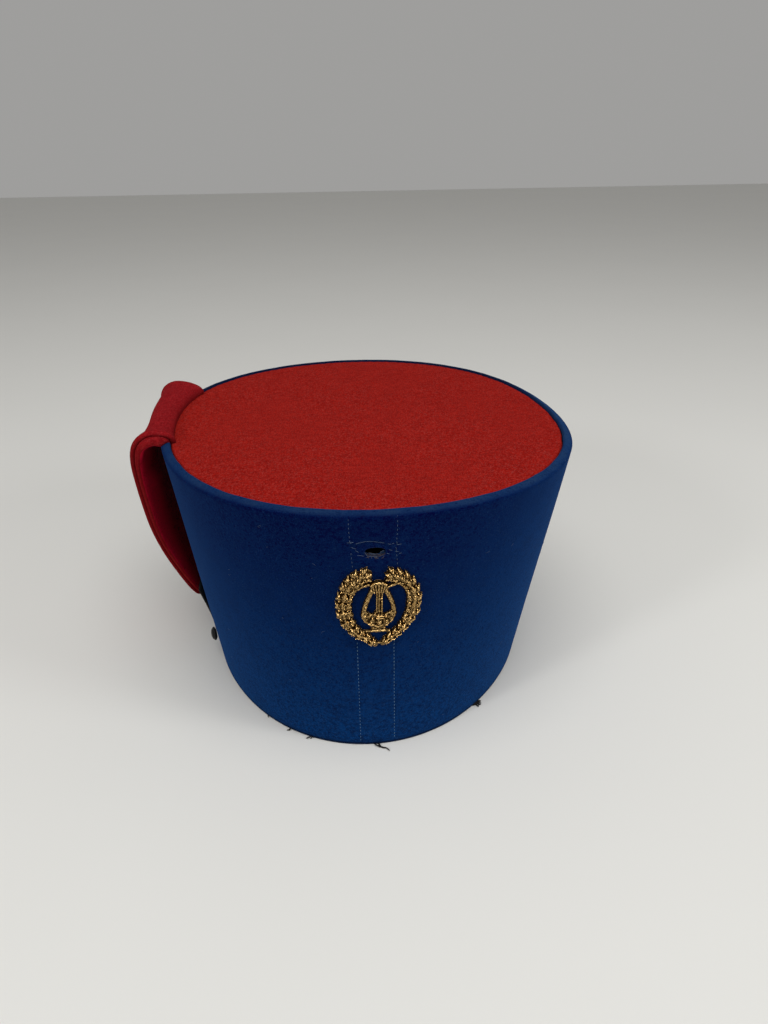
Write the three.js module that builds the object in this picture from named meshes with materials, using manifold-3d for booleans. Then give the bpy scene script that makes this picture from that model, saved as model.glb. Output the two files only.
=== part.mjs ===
// A kepi of stiff wool felt: a flared blue drum with a rounded shoulder, a flat red top let into it,
// a red bag that folds over the left rim, and a cast wreath-and-lyre badge on the front.
// Millimetres, Z up. The front faces -Y, and the origin is the centre of the bottom rim.

import * as THREE from 'three';
import { mergeVertices } from 'three/addons/utils/BufferGeometryUtils.js';
import Module from 'manifold-3d';

const wasm = await Module();
wasm.setup();

// Crown. Each oval is an ellipse of two half sizes, pushed out at its corners by its squareness and
// turned by some degrees, as the felt has pulled a little askew.
const CAP_HEIGHT = 128.9;
const WALL_THICKNESS = 3;
const BASE_OVAL = { across: 84.7, along: 104.5, squareness: -0.0134, turn: -3.2 };
const TOP_OVAL = { across: 105.2, along: 120.1, squareness: 0.0131, turn: 8.5 };
const WALL_STEPS = 96;
const HEM_RADIUS = 0.8;

// Shoulder: the felt bends in over its drop and runs flat to the seam. The inset is narrowed by some
// millimetres about one plan angle at the left back, because the red top sits a little to that side.
const SHOULDER = { inset: 4.6, drop: 1.8, narrowBy: 1.6, narrowAt: 130, narrowReach: 45 };
const SHOULDER_STEPS = 4;
const INNER_CORNER = 1.6;

// Red top, sewn edge to edge with the end of the shoulder: how far it lies below the shoulder's crest
const TOP_THICKNESS = 2.4;
const TOP_RECESS = 0.5;
const TOP_EDGE_ROUND = 0.7;
const TOP_RINGS = [0.5];
const SEWN_GAP = 0.3;

// Plume slot: a lens-shaped cut through the front of the wall
const SLOT = { across: 0.6, z: 110.5, length: 8.8, height: 4.0, depth: 24, arcSteps: 8 };

// Bag, from the seam down to the tip, at mid thickness. stand is how far it lies off the wall line at its
// near edge, flare how much further it lies off at its far edge and bow how much closer its middle lies.
// near and far are the plan angles of its two edges.
const BAG_THICKNESS = 3.2;
const BAG_ROWS = [
  { z: 130.7, stand: -5.3, bow: 0.4, flare: 0.4, near: 198.4, far: 149.2 },
  { z: 132.3, stand: -2.6, bow: 1.4, flare: 2.0, near: 198.2, far: 149.4 },
  { z: 132.9, stand: 0.4, bow: 2.4, flare: 5.0, near: 198.0, far: 149.8 },
  { z: 132.8, stand: 4.8, bow: 4.0, flare: 8.0, near: 197.2, far: 150.0 },
  { z: 130.2, stand: 9.8, bow: 6.8, flare: 9.6, near: 196.5, far: 150.2 },
  { z: 125.2, stand: 13.4, bow: 8.8, flare: 9.6, near: 195.6, far: 150.4 },
  { z: 117.0, stand: 15.6, bow: 9.4, flare: 8.0, near: 194.4, far: 150.6 },
  { z: 106.0, stand: 16.6, bow: 8.6, flare: 4.8, near: 193.0, far: 151.2 },
  { z: 92.0, stand: 17.2, bow: 7.2, flare: 2.2, near: 191.6, far: 152.2 },
  { z: 77.0, stand: 17.2, bow: 6.0, flare: 1.0, near: 190.2, far: 154.4 },
  { z: 62.0, stand: 15.4, bow: 4.4, flare: 0.4, near: 188.8, far: 157.2 },
  { z: 48.0, stand: 11.8, bow: 2.4, flare: 0.0, near: 187.8, far: 160.6 },
  { z: 37.0, stand: 8.4, bow: 0.6, flare: 0.0, near: 186.6, far: 164.2 },
  { z: 29.0, stand: 6.2, bow: 0.0, flare: 0.0, near: 184.0, far: 167.4 },
  { z: 24.0, stand: 5.0, bow: 0.0, flare: 0.0, near: 179.4, far: 170.8 },
];
const BOW_POWER = 3;
const FLARE_POWER = 1.7;
const FLARE_DROP = 0.2;
const BAG_STEPS = { down: 32, over: 12 };

// Black tape between the bag's tip and the wall, with the same columns
const TAB_THICKNESS = 1.0;
const TAB_ROWS = [
  { z: 35.0, stand: 4.3, bow: 0.0, flare: 0.0, near: 188.6, far: 176.0 },
  { z: 28.0, stand: 3.0, bow: 0.0, flare: 0.0, near: 188.6, far: 176.0 },
  { z: 20.0, stand: 1.7, bow: 0.0, flare: 0.0, near: 188.6, far: 176.0 },
  { z: 12.0, stand: 1.0, bow: 0.0, flare: 0.0, near: 188.6, far: 176.0 },
];
const TAB_STEPS = { down: 9, over: 6 };

// Side button: a flat black button with a low dome on a short shank
const BUTTON = { angle: 197.5, z: 14.5, radius: 3.8, shank: 1.4, shankHeight: 0.8, rim: 1.2, dome: 1.0 };
const BUTTON_SIDES = 20;
const BUTTON_DOME_STEPS = 3;

// Badge, drawn flat: x across and y up the wall. The drawing is stretched up the wall by a share.
const BADGE_SEAT = { across: 1.6, z: 82.6, gap: 0.3, stretch: 1.11 };
const BADGE_SPAN = 60;
const OAK_LEAF = { length: 6.0, width: 4.2, height: 1.9, steps: 5, lobes: 2.5, lobeDepth: 0.3 };
const LAUREL_LEAF = { length: 6.2, width: 2.7, height: 1.9, steps: 3, lobes: 0, lobeDepth: 0 };
const OAK_STEM = [
  [-2.0, -17.4], [-4.0, -15.3], [-6.1, -13.7], [-8.8, -12.2], [-11.7, -9.4], [-14.0, -5.6], [-14.8, -1.5],
  [-14.9, 2.2], [-13.9, 6.5], [-12.5, 9.6], [-10.6, 12.3], [-7.8, 14.7], [-4.8, 15.7],
];
const LAUREL_STEM = [
  [1.6, -17.0], [3.8, -14.8], [6.6, -12.9], [9.9, -9.9], [12.5, -6.3], [14.2, -3.0], [14.9, 0.8],
  [15.1, 5.0], [13.7, 9.4], [11.4, 12.2], [8.3, 14.4], [5.2, 15.4],
];
const BRANCHES = [
  { stem: OAK_STEM, stations: 12, leaf: OAK_LEAF, spreads: [34, -34, 0], lift: 0.5 },
  { stem: LAUREL_STEM, stations: 13, leaf: LAUREL_LEAF, spreads: [32, -32, 0], lift: 0.5 },
];
const BRANCH_PLATE = { width: 5.2, height: 0.9, steps: 26 };

// Size of the leaves and the plate along a branch, as shares of the full size
const BRANCH_SIZES = [
  { share: 0, size: 0.55 },
  { share: 0.25, size: 0.8 },
  { share: 0.4, size: 1 },
  { share: 0.8, size: 1 },
  { share: 1, size: 0.85 },
];
const LEAF_END = 0.12;
const LEAF_ROOT_HEIGHT = 0.35;

// Lyre mouldings: two ends or more of a run, with its width and height
const LYRE_RUNS = [
  { name: 'left arm', width: 2.2, height: 1.7, path: [[-2.7, 8.8], [-3.9, 6.0], [-5.2, 3.0], [-6.4, -2.6]] },
  { name: 'right arm', width: 2.2, height: 1.7, path: [[3.0, 8.6], [4.5, 5.6], [5.6, 2.8], [6.4, -2.6]] },
  { name: 'left bowl', width: 3.2, height: 2.0, path: [[-6.2, -3.2], [-4.4, -6.7], [-0.1, -8.0]] },
  { name: 'right bowl', width: 3.2, height: 2.0, path: [[-0.1, -8.0], [4.2, -6.5], [6.0, -2.8]] },
  { name: 'left link', width: 1.4, height: 1.4, path: [[-10, 8], [-7.8, 9.9], [-5.5, 11], [-2.8, 11.2]] },
  { name: 'right link', width: 1.4, height: 1.4, path: [[3.2, 9.8], [6.0, 10.9], [9.2, 11.6]] },
  { name: 'strings', width: 2.9, height: 1.0, path: [[0.4, 8.6], [0.05, -5.0]] },
  { name: 'left string', width: 0.8, height: 1.4, path: [[-0.7, 8.4], [-1.0, -5.0]] },
  { name: 'right string', width: 0.8, height: 1.8, path: [[1.5, 8.4], [1.2, -5.0]] },
  { name: 'foot', width: 1.4, height: 2.0, path: [[-3.4, -9.9], [2.6, -9.9]] },
  { name: 'bar', width: 1.3, height: 1.2, path: [[-5.8, -11.0], [4.8, -11.1]] },
  { name: 'tie', width: 1.2, height: 1.2, path: [[-2.2, -16.9], [1.8, -16.9]] },
];
const LYRE_KNOBS = [
  { name: 'left scroll', x: -6.1, y: -3.2, radius: 1.7 },
  { name: 'right scroll', x: 6.0, y: -2.6, radius: 1.7 },
  { name: 'arm boss', x: -5.6, y: 1.2, radius: 1.2 },
  { name: 'bridge', x: 0.1, y: -5.8, radius: 2.2 },
  { name: 'left bead', x: -3.0, y: -5.0, radius: 1.2 },
  { name: 'right bead', x: 3.1, y: -4.6, radius: 1.2 },
];
const KNOB = { height: 1.9, around: 10, rings: 6 };
const CAPITAL = { foot: 7.6, crown: 11.3, crest: 13.1, footHalf: 2.4, crownHalf: 3.9, middle: 0.1 };
const CAPITAL_PLATE = { depth: 1.3, arcSteps: 6 };
const FLUTES = { count: 5, width: 1.1, height: 2.0, drop: 1.4 };
const RUN_SPAN = 1.6;
const ROOF = [{ side: -1, rise: 0 }, { side: 0, rise: 1 }, { side: 1, rise: 0 }];
const ROUND = [
  { side: -1, rise: 0 },
  { side: -0.7, rise: 0.8 },
  { side: 0.7, rise: 0.8 },
  { side: 1, rise: 0 },
];

const BLUE_FELT = { color: 0x0d2f66, roughness: 0.95, metalness: 0 };
const RED_FELT = { color: 0x9c1d18, roughness: 0.95, metalness: 0 };
const BLACK_TAPE = { color: 0x12120f, roughness: 0.85, metalness: 0 };
const BLACK_GLOSS = { color: 0x0b0b0c, roughness: 0.35, metalness: 0 };
const GILT = { color: 0xb98b43, roughness: 0.35, metalness: 1 };

const MERGE_DISTANCE = 1e-4;
const FRONT = -Math.PI / 2;
const SHOULDER_START = CAP_HEIGHT - SHOULDER.drop;
const radians = THREE.MathUtils.degToRad;
const lerp = THREE.MathUtils.lerp;

// Crown shape

// Distance from the axis to the oval at a plan angle
function ovalRadius(oval, angle) {
  const local = angle - radians(oval.turn);
  const ellipse = 1 / Math.hypot(Math.cos(local) / oval.across, Math.sin(local) / oval.along);
  return ellipse * (1 - oval.squareness * Math.cos(4 * local));
}

// The outer face is ruled: straight lines run from the base oval to the top oval at equal angles
function wallRadius(angle, z) {
  return lerp(ovalRadius(BASE_OVAL, angle), ovalRadius(TOP_OVAL, angle), z / SHOULDER_START);
}

function seamRadius(angle) {
  const turned = THREE.MathUtils.radToDeg(angle) - SHOULDER.narrowAt;
  const away = THREE.MathUtils.euclideanModulo(turned + 180, 360) - 180;
  const narrow = SHOULDER.narrowBy * Math.exp(-((away / SHOULDER.narrowReach) ** 2));
  return ovalRadius(TOP_OVAL, angle) - SHOULDER.inset + narrow;
}

function polar(angle, radius, z) {
  return new THREE.Vector3(radius * Math.cos(angle), radius * Math.sin(angle), z);
}

// A place on the front of the wall: arc length from the front line, height, and distance off the felt
function onWall(across, z, proud) {
  const angle = FRONT + across / wallRadius(FRONT, z);
  return polar(angle, wallRadius(angle, z) + proud, z);
}

// Meshes from loops of points

function signedVolume(points, index) {
  let volume = 0;
  for (let i = 0; i < index.length; i += 3) {
    const [a, b, c] = [points[index[i]], points[index[i + 1]], points[index[i + 2]]];
    volume += a.dot(b.clone().cross(c)) / 6;
  }
  return volume;
}

function toGeometry(points, index) {
  const turned = signedVolume(points, index) < 0;
  const geometry = new THREE.BufferGeometry().setFromPoints(points);
  geometry.setIndex(turned ? index.slice().reverse() : index);
  return geometry;
}

// Skin over a row of equal loops. The row either joins its own start or is closed by a fan at each end.
function loft(loops, joined = false) {
  const size = loops[0].length;
  const points = loops.flat();
  const index = [];
  const spans = joined ? loops.length : loops.length - 1;
  for (let i = 0; i < spans; i += 1) {
    const here = i * size;
    const next = ((i + 1) % loops.length) * size;
    for (let j = 0; j < size; j += 1) {
      const k = (j + 1) % size;
      index.push(here + j, here + k, next + k);
      index.push(here + j, next + k, next + j);
    }
  }
  if (!joined) {
    closeEnd(points, index, 0, size, true);
    closeEnd(points, index, (loops.length - 1) * size, size, false);
  }
  return toGeometry(points, index);
}

function closeEnd(points, index, start, size, first) {
  const centre = new THREE.Vector3();
  for (let j = 0; j < size; j += 1) {
    centre.addScaledVector(points[start + j], 1 / size);
  }
  const middle = points.push(centre) - 1;
  for (let j = 0; j < size; j += 1) {
    const k = (j + 1) % size;
    index.push(middle, start + (first ? k : j), start + (first ? j : k));
  }
}

// Joining and cutting

function toSolid(geometry) {
  const bare = geometry.clone();
  bare.deleteAttribute('normal');
  bare.deleteAttribute('uv');
  const merged = mergeVertices(bare, MERGE_DISTANCE);
  const vertProperties = merged.attributes.position.array;
  const triVerts = Uint32Array.from(merged.index.array);
  return new wasm.Manifold(new wasm.Mesh({ numProp: 3, vertProperties, triVerts }));
}

function solidPoints(solid) {
  const mesh = solid.getMesh();
  const points = [];
  for (let i = 0; i < mesh.vertProperties.length; i += mesh.numProp) {
    points.push(new THREE.Vector3().fromArray(mesh.vertProperties, i));
  }
  return { points, index: Array.from(mesh.triVerts) };
}

function makeMesh(name, geometry, finish) {
  const mesh = new THREE.Mesh(geometry, new THREE.MeshStandardMaterial(finish));
  mesh.name = name;
  return mesh;
}

// Crown wall: one section of the felt, carried round the oval

// The felt runs up the outside, over the shoulder to the seam, and back down the inside
function wallSection(angle) {
  const seam = seamRadius(angle);
  const width = ovalRadius(TOP_OVAL, angle) - seam;
  const under = CAP_HEIGHT - WALL_THICKNESS;
  const outer = (z) => polar(angle, wallRadius(angle, z), z);
  const inner = (z) => polar(angle, wallRadius(angle, z) - WALL_THICKNESS, z);
  const bends = Array.from({ length: SHOULDER_STEPS + 1 }, (_, i) => (i / SHOULDER_STEPS) * (Math.PI / 2));
  const shoulder = (bend) => polar(
    angle,
    seam + width * Math.cos(bend),
    SHOULDER_START + SHOULDER.drop * Math.sin(bend),
  );
  return [
    polar(angle, wallRadius(angle, 0) - HEM_RADIUS, 0),
    outer(HEM_RADIUS),
    outer(SHOULDER_START / 2),
    ...bends.map(shoulder),
    polar(angle, seam, under),
    inner(under - INNER_CORNER),
    inner(SHOULDER_START / 2),
    inner(0),
  ];
}

function aroundOval(section) {
  return Array.from({ length: WALL_STEPS }, (_, i) => section((i / WALL_STEPS) * 2 * Math.PI));
}

// A lens of two arcs that meet at the ends of the slot
function slotCutter() {
  const lens = new THREE.Shape();
  for (let i = 0; i < 2 * SLOT.arcSteps; i += 1) {
    const turn = (i / SLOT.arcSteps) * Math.PI;
    const x = (SLOT.length / 2) * Math.cos(turn);
    const y = (SLOT.height / 2) * Math.sin(turn);
    if (i === 0) {
      lens.moveTo(x, y);
    } else {
      lens.lineTo(x, y);
    }
  }
  const cutter = new THREE.ExtrudeGeometry(lens, { depth: SLOT.depth, bevelEnabled: false });
  cutter.rotateX(Math.PI / 2);
  const face = onWall(0, SLOT.z, 0);
  return cutter.translate(SLOT.across, face.y + SLOT.depth / 2, SLOT.z);
}

function crownWall() {
  const felt = toSolid(loft(aroundOval(wallSection), true));
  const { points, index } = solidPoints(felt.subtract(toSolid(slotCutter())));
  return makeMesh('crown_wall', toGeometry(points, index), BLUE_FELT);
}

// Red top: rings from the middle of its upper face, over the edge, to the middle of its lower face

function crownTop() {
  const upper = CAP_HEIGHT - TOP_RECESS;
  const lower = upper - TOP_THICKNESS;
  const rim = (angle) => seamRadius(angle) - SEWN_GAP;
  const rings = [
    ...TOP_RINGS.map((part) => ({ part, inset: 0, z: upper })),
    { part: 1, inset: TOP_EDGE_ROUND, z: upper },
    { part: 1, inset: 0, z: upper - TOP_EDGE_ROUND },
    { part: 1, inset: 0, z: lower },
    ...TOP_RINGS.toReversed().map((part) => ({ part, inset: 0, z: lower })),
  ];
  const ringLoop = (ring) => aroundOval((angle) => polar(angle, rim(angle) * ring.part - ring.inset, ring.z));
  return makeMesh('crown_top', loft(rings.map(ringLoop)), RED_FELT);
}

// Hanging cloth: a sheet between two edge angles whose stand off the wall changes down its length

function sheetSurface(rows) {
  const smooth = (columns) => {
    const points = rows.map((row) => new THREE.Vector3(...columns(row)));
    return new THREE.CatmullRomCurve3(points);
  };
  const course = smooth((row) => [row.z, row.stand, row.bow]);
  const edges = smooth((row) => [row.near, row.far, row.flare]);
  return (over, down) => {
    const place = course.getPoint(down);
    const edge = edges.getPoint(down);
    const angle = radians(lerp(edge.x, edge.y, over));
    const bow = place.z * (1 - Math.abs(2 * over - 1) ** BOW_POWER);
    const flare = edge.z * over ** FLARE_POWER;
    const z = place.x - FLARE_DROP * flare;
    return polar(angle, wallRadius(angle, z) + place.y + flare - bow, z);
  };
}

function hangingSheet(rows, thickness, steps) {
  const surface = sheetSurface(rows);
  const nudge = 1e-3;
  const edgePower = 10;
  const skin = (over, down, side) => {
    const here = surface(over, down);
    const [left, right] = [Math.max(over - nudge, 0), Math.min(over + nudge, 1)];
    const [above, below] = [Math.max(down - nudge, 0), Math.min(down + nudge, 1)];
    const acrossCloth = surface(right, down).sub(surface(left, down));
    const downCloth = surface(over, below).sub(surface(over, above));
    const normal = downCloth.cross(acrossCloth).normalize();
    const full = Math.sqrt(1 - Math.abs(2 * over - 1) ** edgePower);
    return here.addScaledVector(normal, (side * full * thickness) / 2);
  };
  const loops = [];
  for (let i = 0; i <= steps.down; i += 1) {
    const loop = [];
    for (let j = 0; j < 2 * steps.over; j += 1) {
      const over = (1 - Math.cos((j / steps.over) * Math.PI)) / 2;
      loop.push(skin(over, i / steps.down, j < steps.over ? 1 : -1));
    }
    loops.push(loop);
  }
  return loft(loops);
}

// Side button: a turned profile from the shank's end to the top of the dome

function sideButton() {
  const { radius, shank, shankHeight, rim, dome } = BUTTON;
  const stem = [[0, 0], [shank, 0], [shank, shankHeight], [radius, shankHeight]];
  const profile = stem.map(([out, up]) => new THREE.Vector2(out, up));
  for (let i = 0; i <= BUTTON_DOME_STEPS; i += 1) {
    const turn = (i / BUTTON_DOME_STEPS) * (Math.PI / 2);
    profile.push(new THREE.Vector2(radius * Math.cos(turn), shankHeight + rim + dome * Math.sin(turn)));
  }
  profile[profile.length - 1].x = 0;
  const button = makeMesh('side_button', new THREE.LatheGeometry(profile, BUTTON_SIDES), BLACK_GLOSS);
  const angle = radians(BUTTON.angle);
  const outward = new THREE.Vector3(Math.cos(angle), Math.sin(angle), 0);
  button.position.copy(polar(angle, wallRadius(angle, BUTTON.z) + 2 * SEWN_GAP, BUTTON.z));
  button.quaternion.setFromUnitVectors(new THREE.Vector3(0, 1, 0), outward);
  return button;
}

// Badge: mouldings on the flat, joined into one casting and then bent to the wall

// A run of metal along a line of points, with a given half width and height at each share of its length
function moulding(path, halfWidth, height, section) {
  const last = path.length - 1;
  const loops = path.map((point, i) => {
    const before = path[Math.max(i - 1, 0)];
    const after = path[Math.min(i + 1, last)];
    const along = after.clone().sub(before).normalize();
    const share = i / last;
    return section.map(({ side, rise }) => new THREE.Vector3(
      point.x - along.y * side * halfWidth(share),
      point.y + along.x * side * halfWidth(share),
      rise * height(share),
    ));
  });
  return toSolid(loft(loops));
}

function smoothRun({ width, height, path }) {
  const curve = flatCurve(path);
  const steps = Math.max(1, path.length > 2 ? Math.round(curve.getLength() / RUN_SPAN) : 1);
  return moulding(curve.getPoints(steps), () => width / 2, () => height, ROUND);
}

function flatCurve(path) {
  return new THREE.SplineCurve(path.map(([x, y]) => new THREE.Vector2(x, y)));
}

// The straight mix of the two neighbouring rows of the size table
function branchSize(share) {
  const next = Math.max(1, BRANCH_SIZES.findIndex((row) => row.share >= share));
  const [low, high] = [BRANCH_SIZES[next - 1], BRANCH_SIZES[next]];
  return lerp(low.size, high.size, (share - low.share) / (high.share - low.share));
}

// A leaf grows from its root with a ridge down its middle, and its edge may wave in lobes
function leafSolid(leaf, size, root, heading, lift) {
  const path = Array.from({ length: leaf.steps + 1 }, (_, i) => new THREE.Vector2(
    root.x + Math.cos(heading) * size * leaf.length * (i / leaf.steps),
    root.y + Math.sin(heading) * size * leaf.length * (i / leaf.steps),
  ));
  const wave = (share) => 1 - leaf.lobeDepth * (1 + Math.cos(2 * Math.PI * leaf.lobes * share)) / 2;
  const halfWidth = (share) => LEAF_END + size * (leaf.width / 2) * Math.sin(Math.PI * share) * wave(share);
  const height = (share) => lift + leaf.height * lerp(LEAF_ROOT_HEIGHT, 1, Math.sin(Math.PI * share));
  return moulding(path, halfWidth, height, ROOF);
}

function branchSolids({ stem, stations, leaf, spreads, lift }) {
  const curve = flatCurve(stem);
  const halfPlate = (share) => (BRANCH_PLATE.width / 2) * branchSize(share);
  const solids = [moulding(curve.getPoints(BRANCH_PLATE.steps), halfPlate, () => BRANCH_PLATE.height, ROUND)];
  for (let i = 0; i < stations; i += 1) {
    const share = i / stations;
    const root = curve.getPoint(share);
    const ahead = curve.getPoint(share + 1 / stations).sub(root);
    const heading = Math.atan2(ahead.y, ahead.x);
    spreads.forEach((spread) => {
      const lifted = spread === 0 ? lift : 0;
      solids.push(leafSolid(leaf, branchSize(share), root, heading + radians(spread), lifted));
    });
  }
  return solids;
}

function capitalSolids() {
  const { foot, crown, crest, footHalf, crownHalf, middle } = CAPITAL;
  const { depth, arcSteps } = CAPITAL_PLATE;
  const fan = new THREE.Shape();
  fan.moveTo(middle - footHalf, foot);
  fan.lineTo(middle + footHalf, foot);
  fan.lineTo(middle + crownHalf, crown);
  fan.quadraticCurveTo(middle, 2 * crest - crown, middle - crownHalf, crown);
  const slab = new THREE.ExtrudeGeometry(fan, { depth, bevelEnabled: false, curveSegments: arcSteps });
  const solids = [toSolid(slab)];
  for (let i = 0; i < FLUTES.count; i += 1) {
    const share = (2 * i) / (FLUTES.count - 1) - 1;
    const low = new THREE.Vector2(middle + share * (footHalf - FLUTES.width / 2), foot);
    const top = crest - FLUTES.drop * share * share;
    const high = new THREE.Vector2(middle + share * (crownHalf - FLUTES.width / 2), top);
    solids.push(moulding([low, high], () => FLUTES.width / 2, () => FLUTES.height, ROUND));
  }
  return solids;
}

function knobSolid({ x, y, radius }) {
  const knob = new THREE.SphereGeometry(1, KNOB.around, KNOB.rings);
  knob.scale(radius, radius, KNOB.height);
  return toSolid(knob.translate(x, y, 0));
}

function badge() {
  const solids = [
    ...BRANCHES.flatMap(branchSolids),
    ...LYRE_RUNS.map(smoothRun),
    ...LYRE_KNOBS.map(knobSolid),
    ...capitalSolids(),
  ];
  const cast = solids.reduce((whole, piece) => whole.add(piece));
  const reach = BADGE_SPAN;
  const aboveFelt = new THREE.BoxGeometry(reach, reach, reach).translate(0, 0, reach / 2);
  const { points, index } = solidPoints(cast.intersect(toSolid(aboveFelt)));
  const { across, z, gap, stretch } = BADGE_SEAT;
  const bent = points.map((p) => onWall(across + p.x, z + p.y * stretch, gap + p.z));
  return makeMesh('badge', toGeometry(bent, index), GILT);
}

const kepi = new THREE.Group();
kepi.add(
  crownWall(),
  crownTop(),
  makeMesh('side_bag', hangingSheet(BAG_ROWS, BAG_THICKNESS, BAG_STEPS), RED_FELT),
  makeMesh('bag_tab', hangingSheet(TAB_ROWS, TAB_THICKNESS, TAB_STEPS), BLACK_TAPE),
  sideButton(),
  badge(),
);

export default kepi;
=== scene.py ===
# %% [markdown]
# # A band kepi of wool felt
# The construction model gives the cap's solids at their real size. This lesson dresses them: felt with a
# nap, a folded bag of double cloth, a struck gilt badge, stitches and loose threads. Each piece is a
# surface that numpy works out from a few sizes in millimetres, and each one rides on the construction
# model's only body.

# %% Load the construction model
import math

import bpy
import numpy as np
from mathutils import Matrix


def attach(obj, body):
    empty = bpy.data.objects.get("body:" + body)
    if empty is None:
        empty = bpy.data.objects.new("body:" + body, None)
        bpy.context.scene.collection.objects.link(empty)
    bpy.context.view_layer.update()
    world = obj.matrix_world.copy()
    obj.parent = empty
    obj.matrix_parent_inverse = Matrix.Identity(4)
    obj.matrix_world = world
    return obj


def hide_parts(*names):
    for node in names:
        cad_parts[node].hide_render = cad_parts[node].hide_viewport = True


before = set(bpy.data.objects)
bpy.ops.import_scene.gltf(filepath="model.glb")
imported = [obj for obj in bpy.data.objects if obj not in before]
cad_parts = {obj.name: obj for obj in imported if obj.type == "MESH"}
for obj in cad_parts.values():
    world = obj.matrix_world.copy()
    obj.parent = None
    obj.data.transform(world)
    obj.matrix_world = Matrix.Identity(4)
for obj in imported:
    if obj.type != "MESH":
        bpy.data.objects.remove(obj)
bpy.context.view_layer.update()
MM = 0.001
print("construction nodes:", ", ".join(sorted(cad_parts)))

# %% [markdown]
# ## From arrays to pieces
# A mesh can be edited point by point, or given to Blender as two arrays: places and faces. Arrays are
# quicker and the shape stays a formula. A grid of points needs only its size to know its faces, and a
# closed surface shows by the sign of its volume whether its faces point outwards.

# %% Helpers for meshes


def grid_quads(rows, columns, wrap_rows=False, wrap_columns=False):
    """Four corner numbers for each cell of a grid whose points are counted row by row."""
    row, column = np.meshgrid(
        np.arange(rows if wrap_rows else rows - 1),
        np.arange(columns if wrap_columns else columns - 1),
        indexing="ij",
    )
    below, right = (row + 1) % rows, (column + 1) % columns
    corners = [(row, column), (row, right), (below, right), (below, column)]
    return np.stack([r * columns + c for r, c in corners], axis=-1).reshape(-1, 4)


def six_volumes(points, quads):
    """Six times the volume within the faces: the sum over triangles of a dot (b cross c)."""
    a, b, c, d = (points[quads[:, i]] for i in range(4))
    return (a * np.cross(b, c)).sum() + (a * np.cross(c, d)).sum()


def put_piece(name, points, quads, finish, slot, node=None, marks=None):
    """A smooth mesh from millimetre points and quads, which rides on the cap and may stand for a node."""
    points = points.reshape(-1, 3)
    if six_volumes(points, quads) < 0:
        quads = quads[:, ::-1]
    mesh = bpy.data.meshes.new(name)
    mesh.from_pydata((points * MM).tolist(), [], quads.tolist())
    mesh.polygons.foreach_set("use_smooth", np.ones(len(mesh.polygons), dtype=bool))
    for mark, values in (marks or {}).items():
        layer = mesh.attributes.new(mark, "FLOAT", "POINT")
        layer.data.foreach_set("value", values.ravel().astype(np.float32))
    mesh.materials.append(finish)
    piece = bpy.data.objects.new(name, mesh)
    bpy.context.scene.collection.objects.link(piece)
    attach(piece, "root")
    if node:
        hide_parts(node)
    print(f"{name}: {len(points)} points, {len(quads)} quads")
    return piece


# %% [markdown]
# ## The camera
# The camera looks at the front of the cap from a little above. Its place and lens were solved from the
# cap's outline in the photograph, so it is set by numbers and not by eye. Blender measures the lens against
# a 36 mm sensor along the image's longer side.

# %% Camera
PHOTO_HEIGHT_PX = 1024
FOCAL_PX = 782.15
SENSOR_MM = 36
NEAREST_M = 0.01
CAMERA_PLACE = np.array([-10.68, -395.10, 263.14])
CAMERA_YAW, CAMERA_PITCH, CAMERA_ROLL = math.radians(-3.09), math.radians(25.751), math.radians(-0.877)

camera_data = bpy.data.cameras.new("camera")
camera_data.sensor_width = SENSOR_MM
camera_data.lens = FOCAL_PX * SENSOR_MM / PHOTO_HEIGHT_PX
camera_data.clip_start = NEAREST_M
camera = bpy.data.objects.new("camera", camera_data)
turn = Matrix.Rotation(CAMERA_YAW, 4, "Z") @ Matrix.Rotation(math.pi / 2 - CAMERA_PITCH, 4, "X")
camera.matrix_world = Matrix.Translation(CAMERA_PLACE * MM) @ turn @ Matrix.Rotation(CAMERA_ROLL, 4, "Z")
bpy.context.scene.collection.objects.link(camera)
bpy.context.scene.camera = camera
print(f"lens {camera_data.lens:.2f} mm")

# %% [markdown]
# ## Shader helpers
# Materials can be wired by hand in the node editor, or built by code that can be read again. Here one
# helper feeds a node's inputs by name, with values or with other nodes' outputs, so that a material reads
# as a list of what feeds what.

# %% Helpers for materials


def feed(node, **inputs):
    """Sets or links inputs that are named with _ for a space, or in0, in1 by their place."""
    for key, value in inputs.items():
        socket = node.inputs[int(key[2:])] if key[:2] == "in" else node.inputs[key.replace("_", " ")]
        if isinstance(value, bpy.types.NodeSocket):
            node.id_data.links.new(value, socket)
        else:
            socket.default_value = value


def add_node(tree, kind, settings=None, **inputs):
    """A shader node with its settings made and its inputs fed."""
    made = tree.nodes.new("ShaderNode" + kind)
    for key, value in (settings or {}).items():
        setattr(made, key, value)
    feed(made, **inputs)
    return made


def sums(tree, operation, first, second):
    """The output of a Math node with two inputs."""
    return add_node(tree, "Math", {"operation": operation}, in0=first, in1=second).outputs[0]


def blend(tree, share, first, second):
    """The output of a node that mixes two colours by a share."""
    return add_node(tree, "MixRGB", None, Fac=share, Color1=first, Color2=second).outputs[0]


def spread(tree, value, low, high):
    """The value brought from the range low to high onto 0 to 1, and held there."""
    return add_node(tree, "MapRange", None, Value=value, From_Min=low, From_Max=high).outputs[0]


def own_place(tree):
    """The place on the piece, in its own coordinates."""
    return add_node(tree, "TexCoord").outputs["Object"]


def noise(tree, scale, detail):
    """A soft noise over the piece's own coordinates."""
    return add_node(tree, "TexNoise", None, Vector=own_place(tree), Scale=scale, Detail=detail).outputs["Fac"]


def bumps(tree, height, strength, depth):
    """A surface direction that follows a height, whose full range is a depth in millimetres."""
    return add_node(tree, "Bump", None, Strength=strength, Distance=depth * MM, Height=height).outputs[0]


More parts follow.
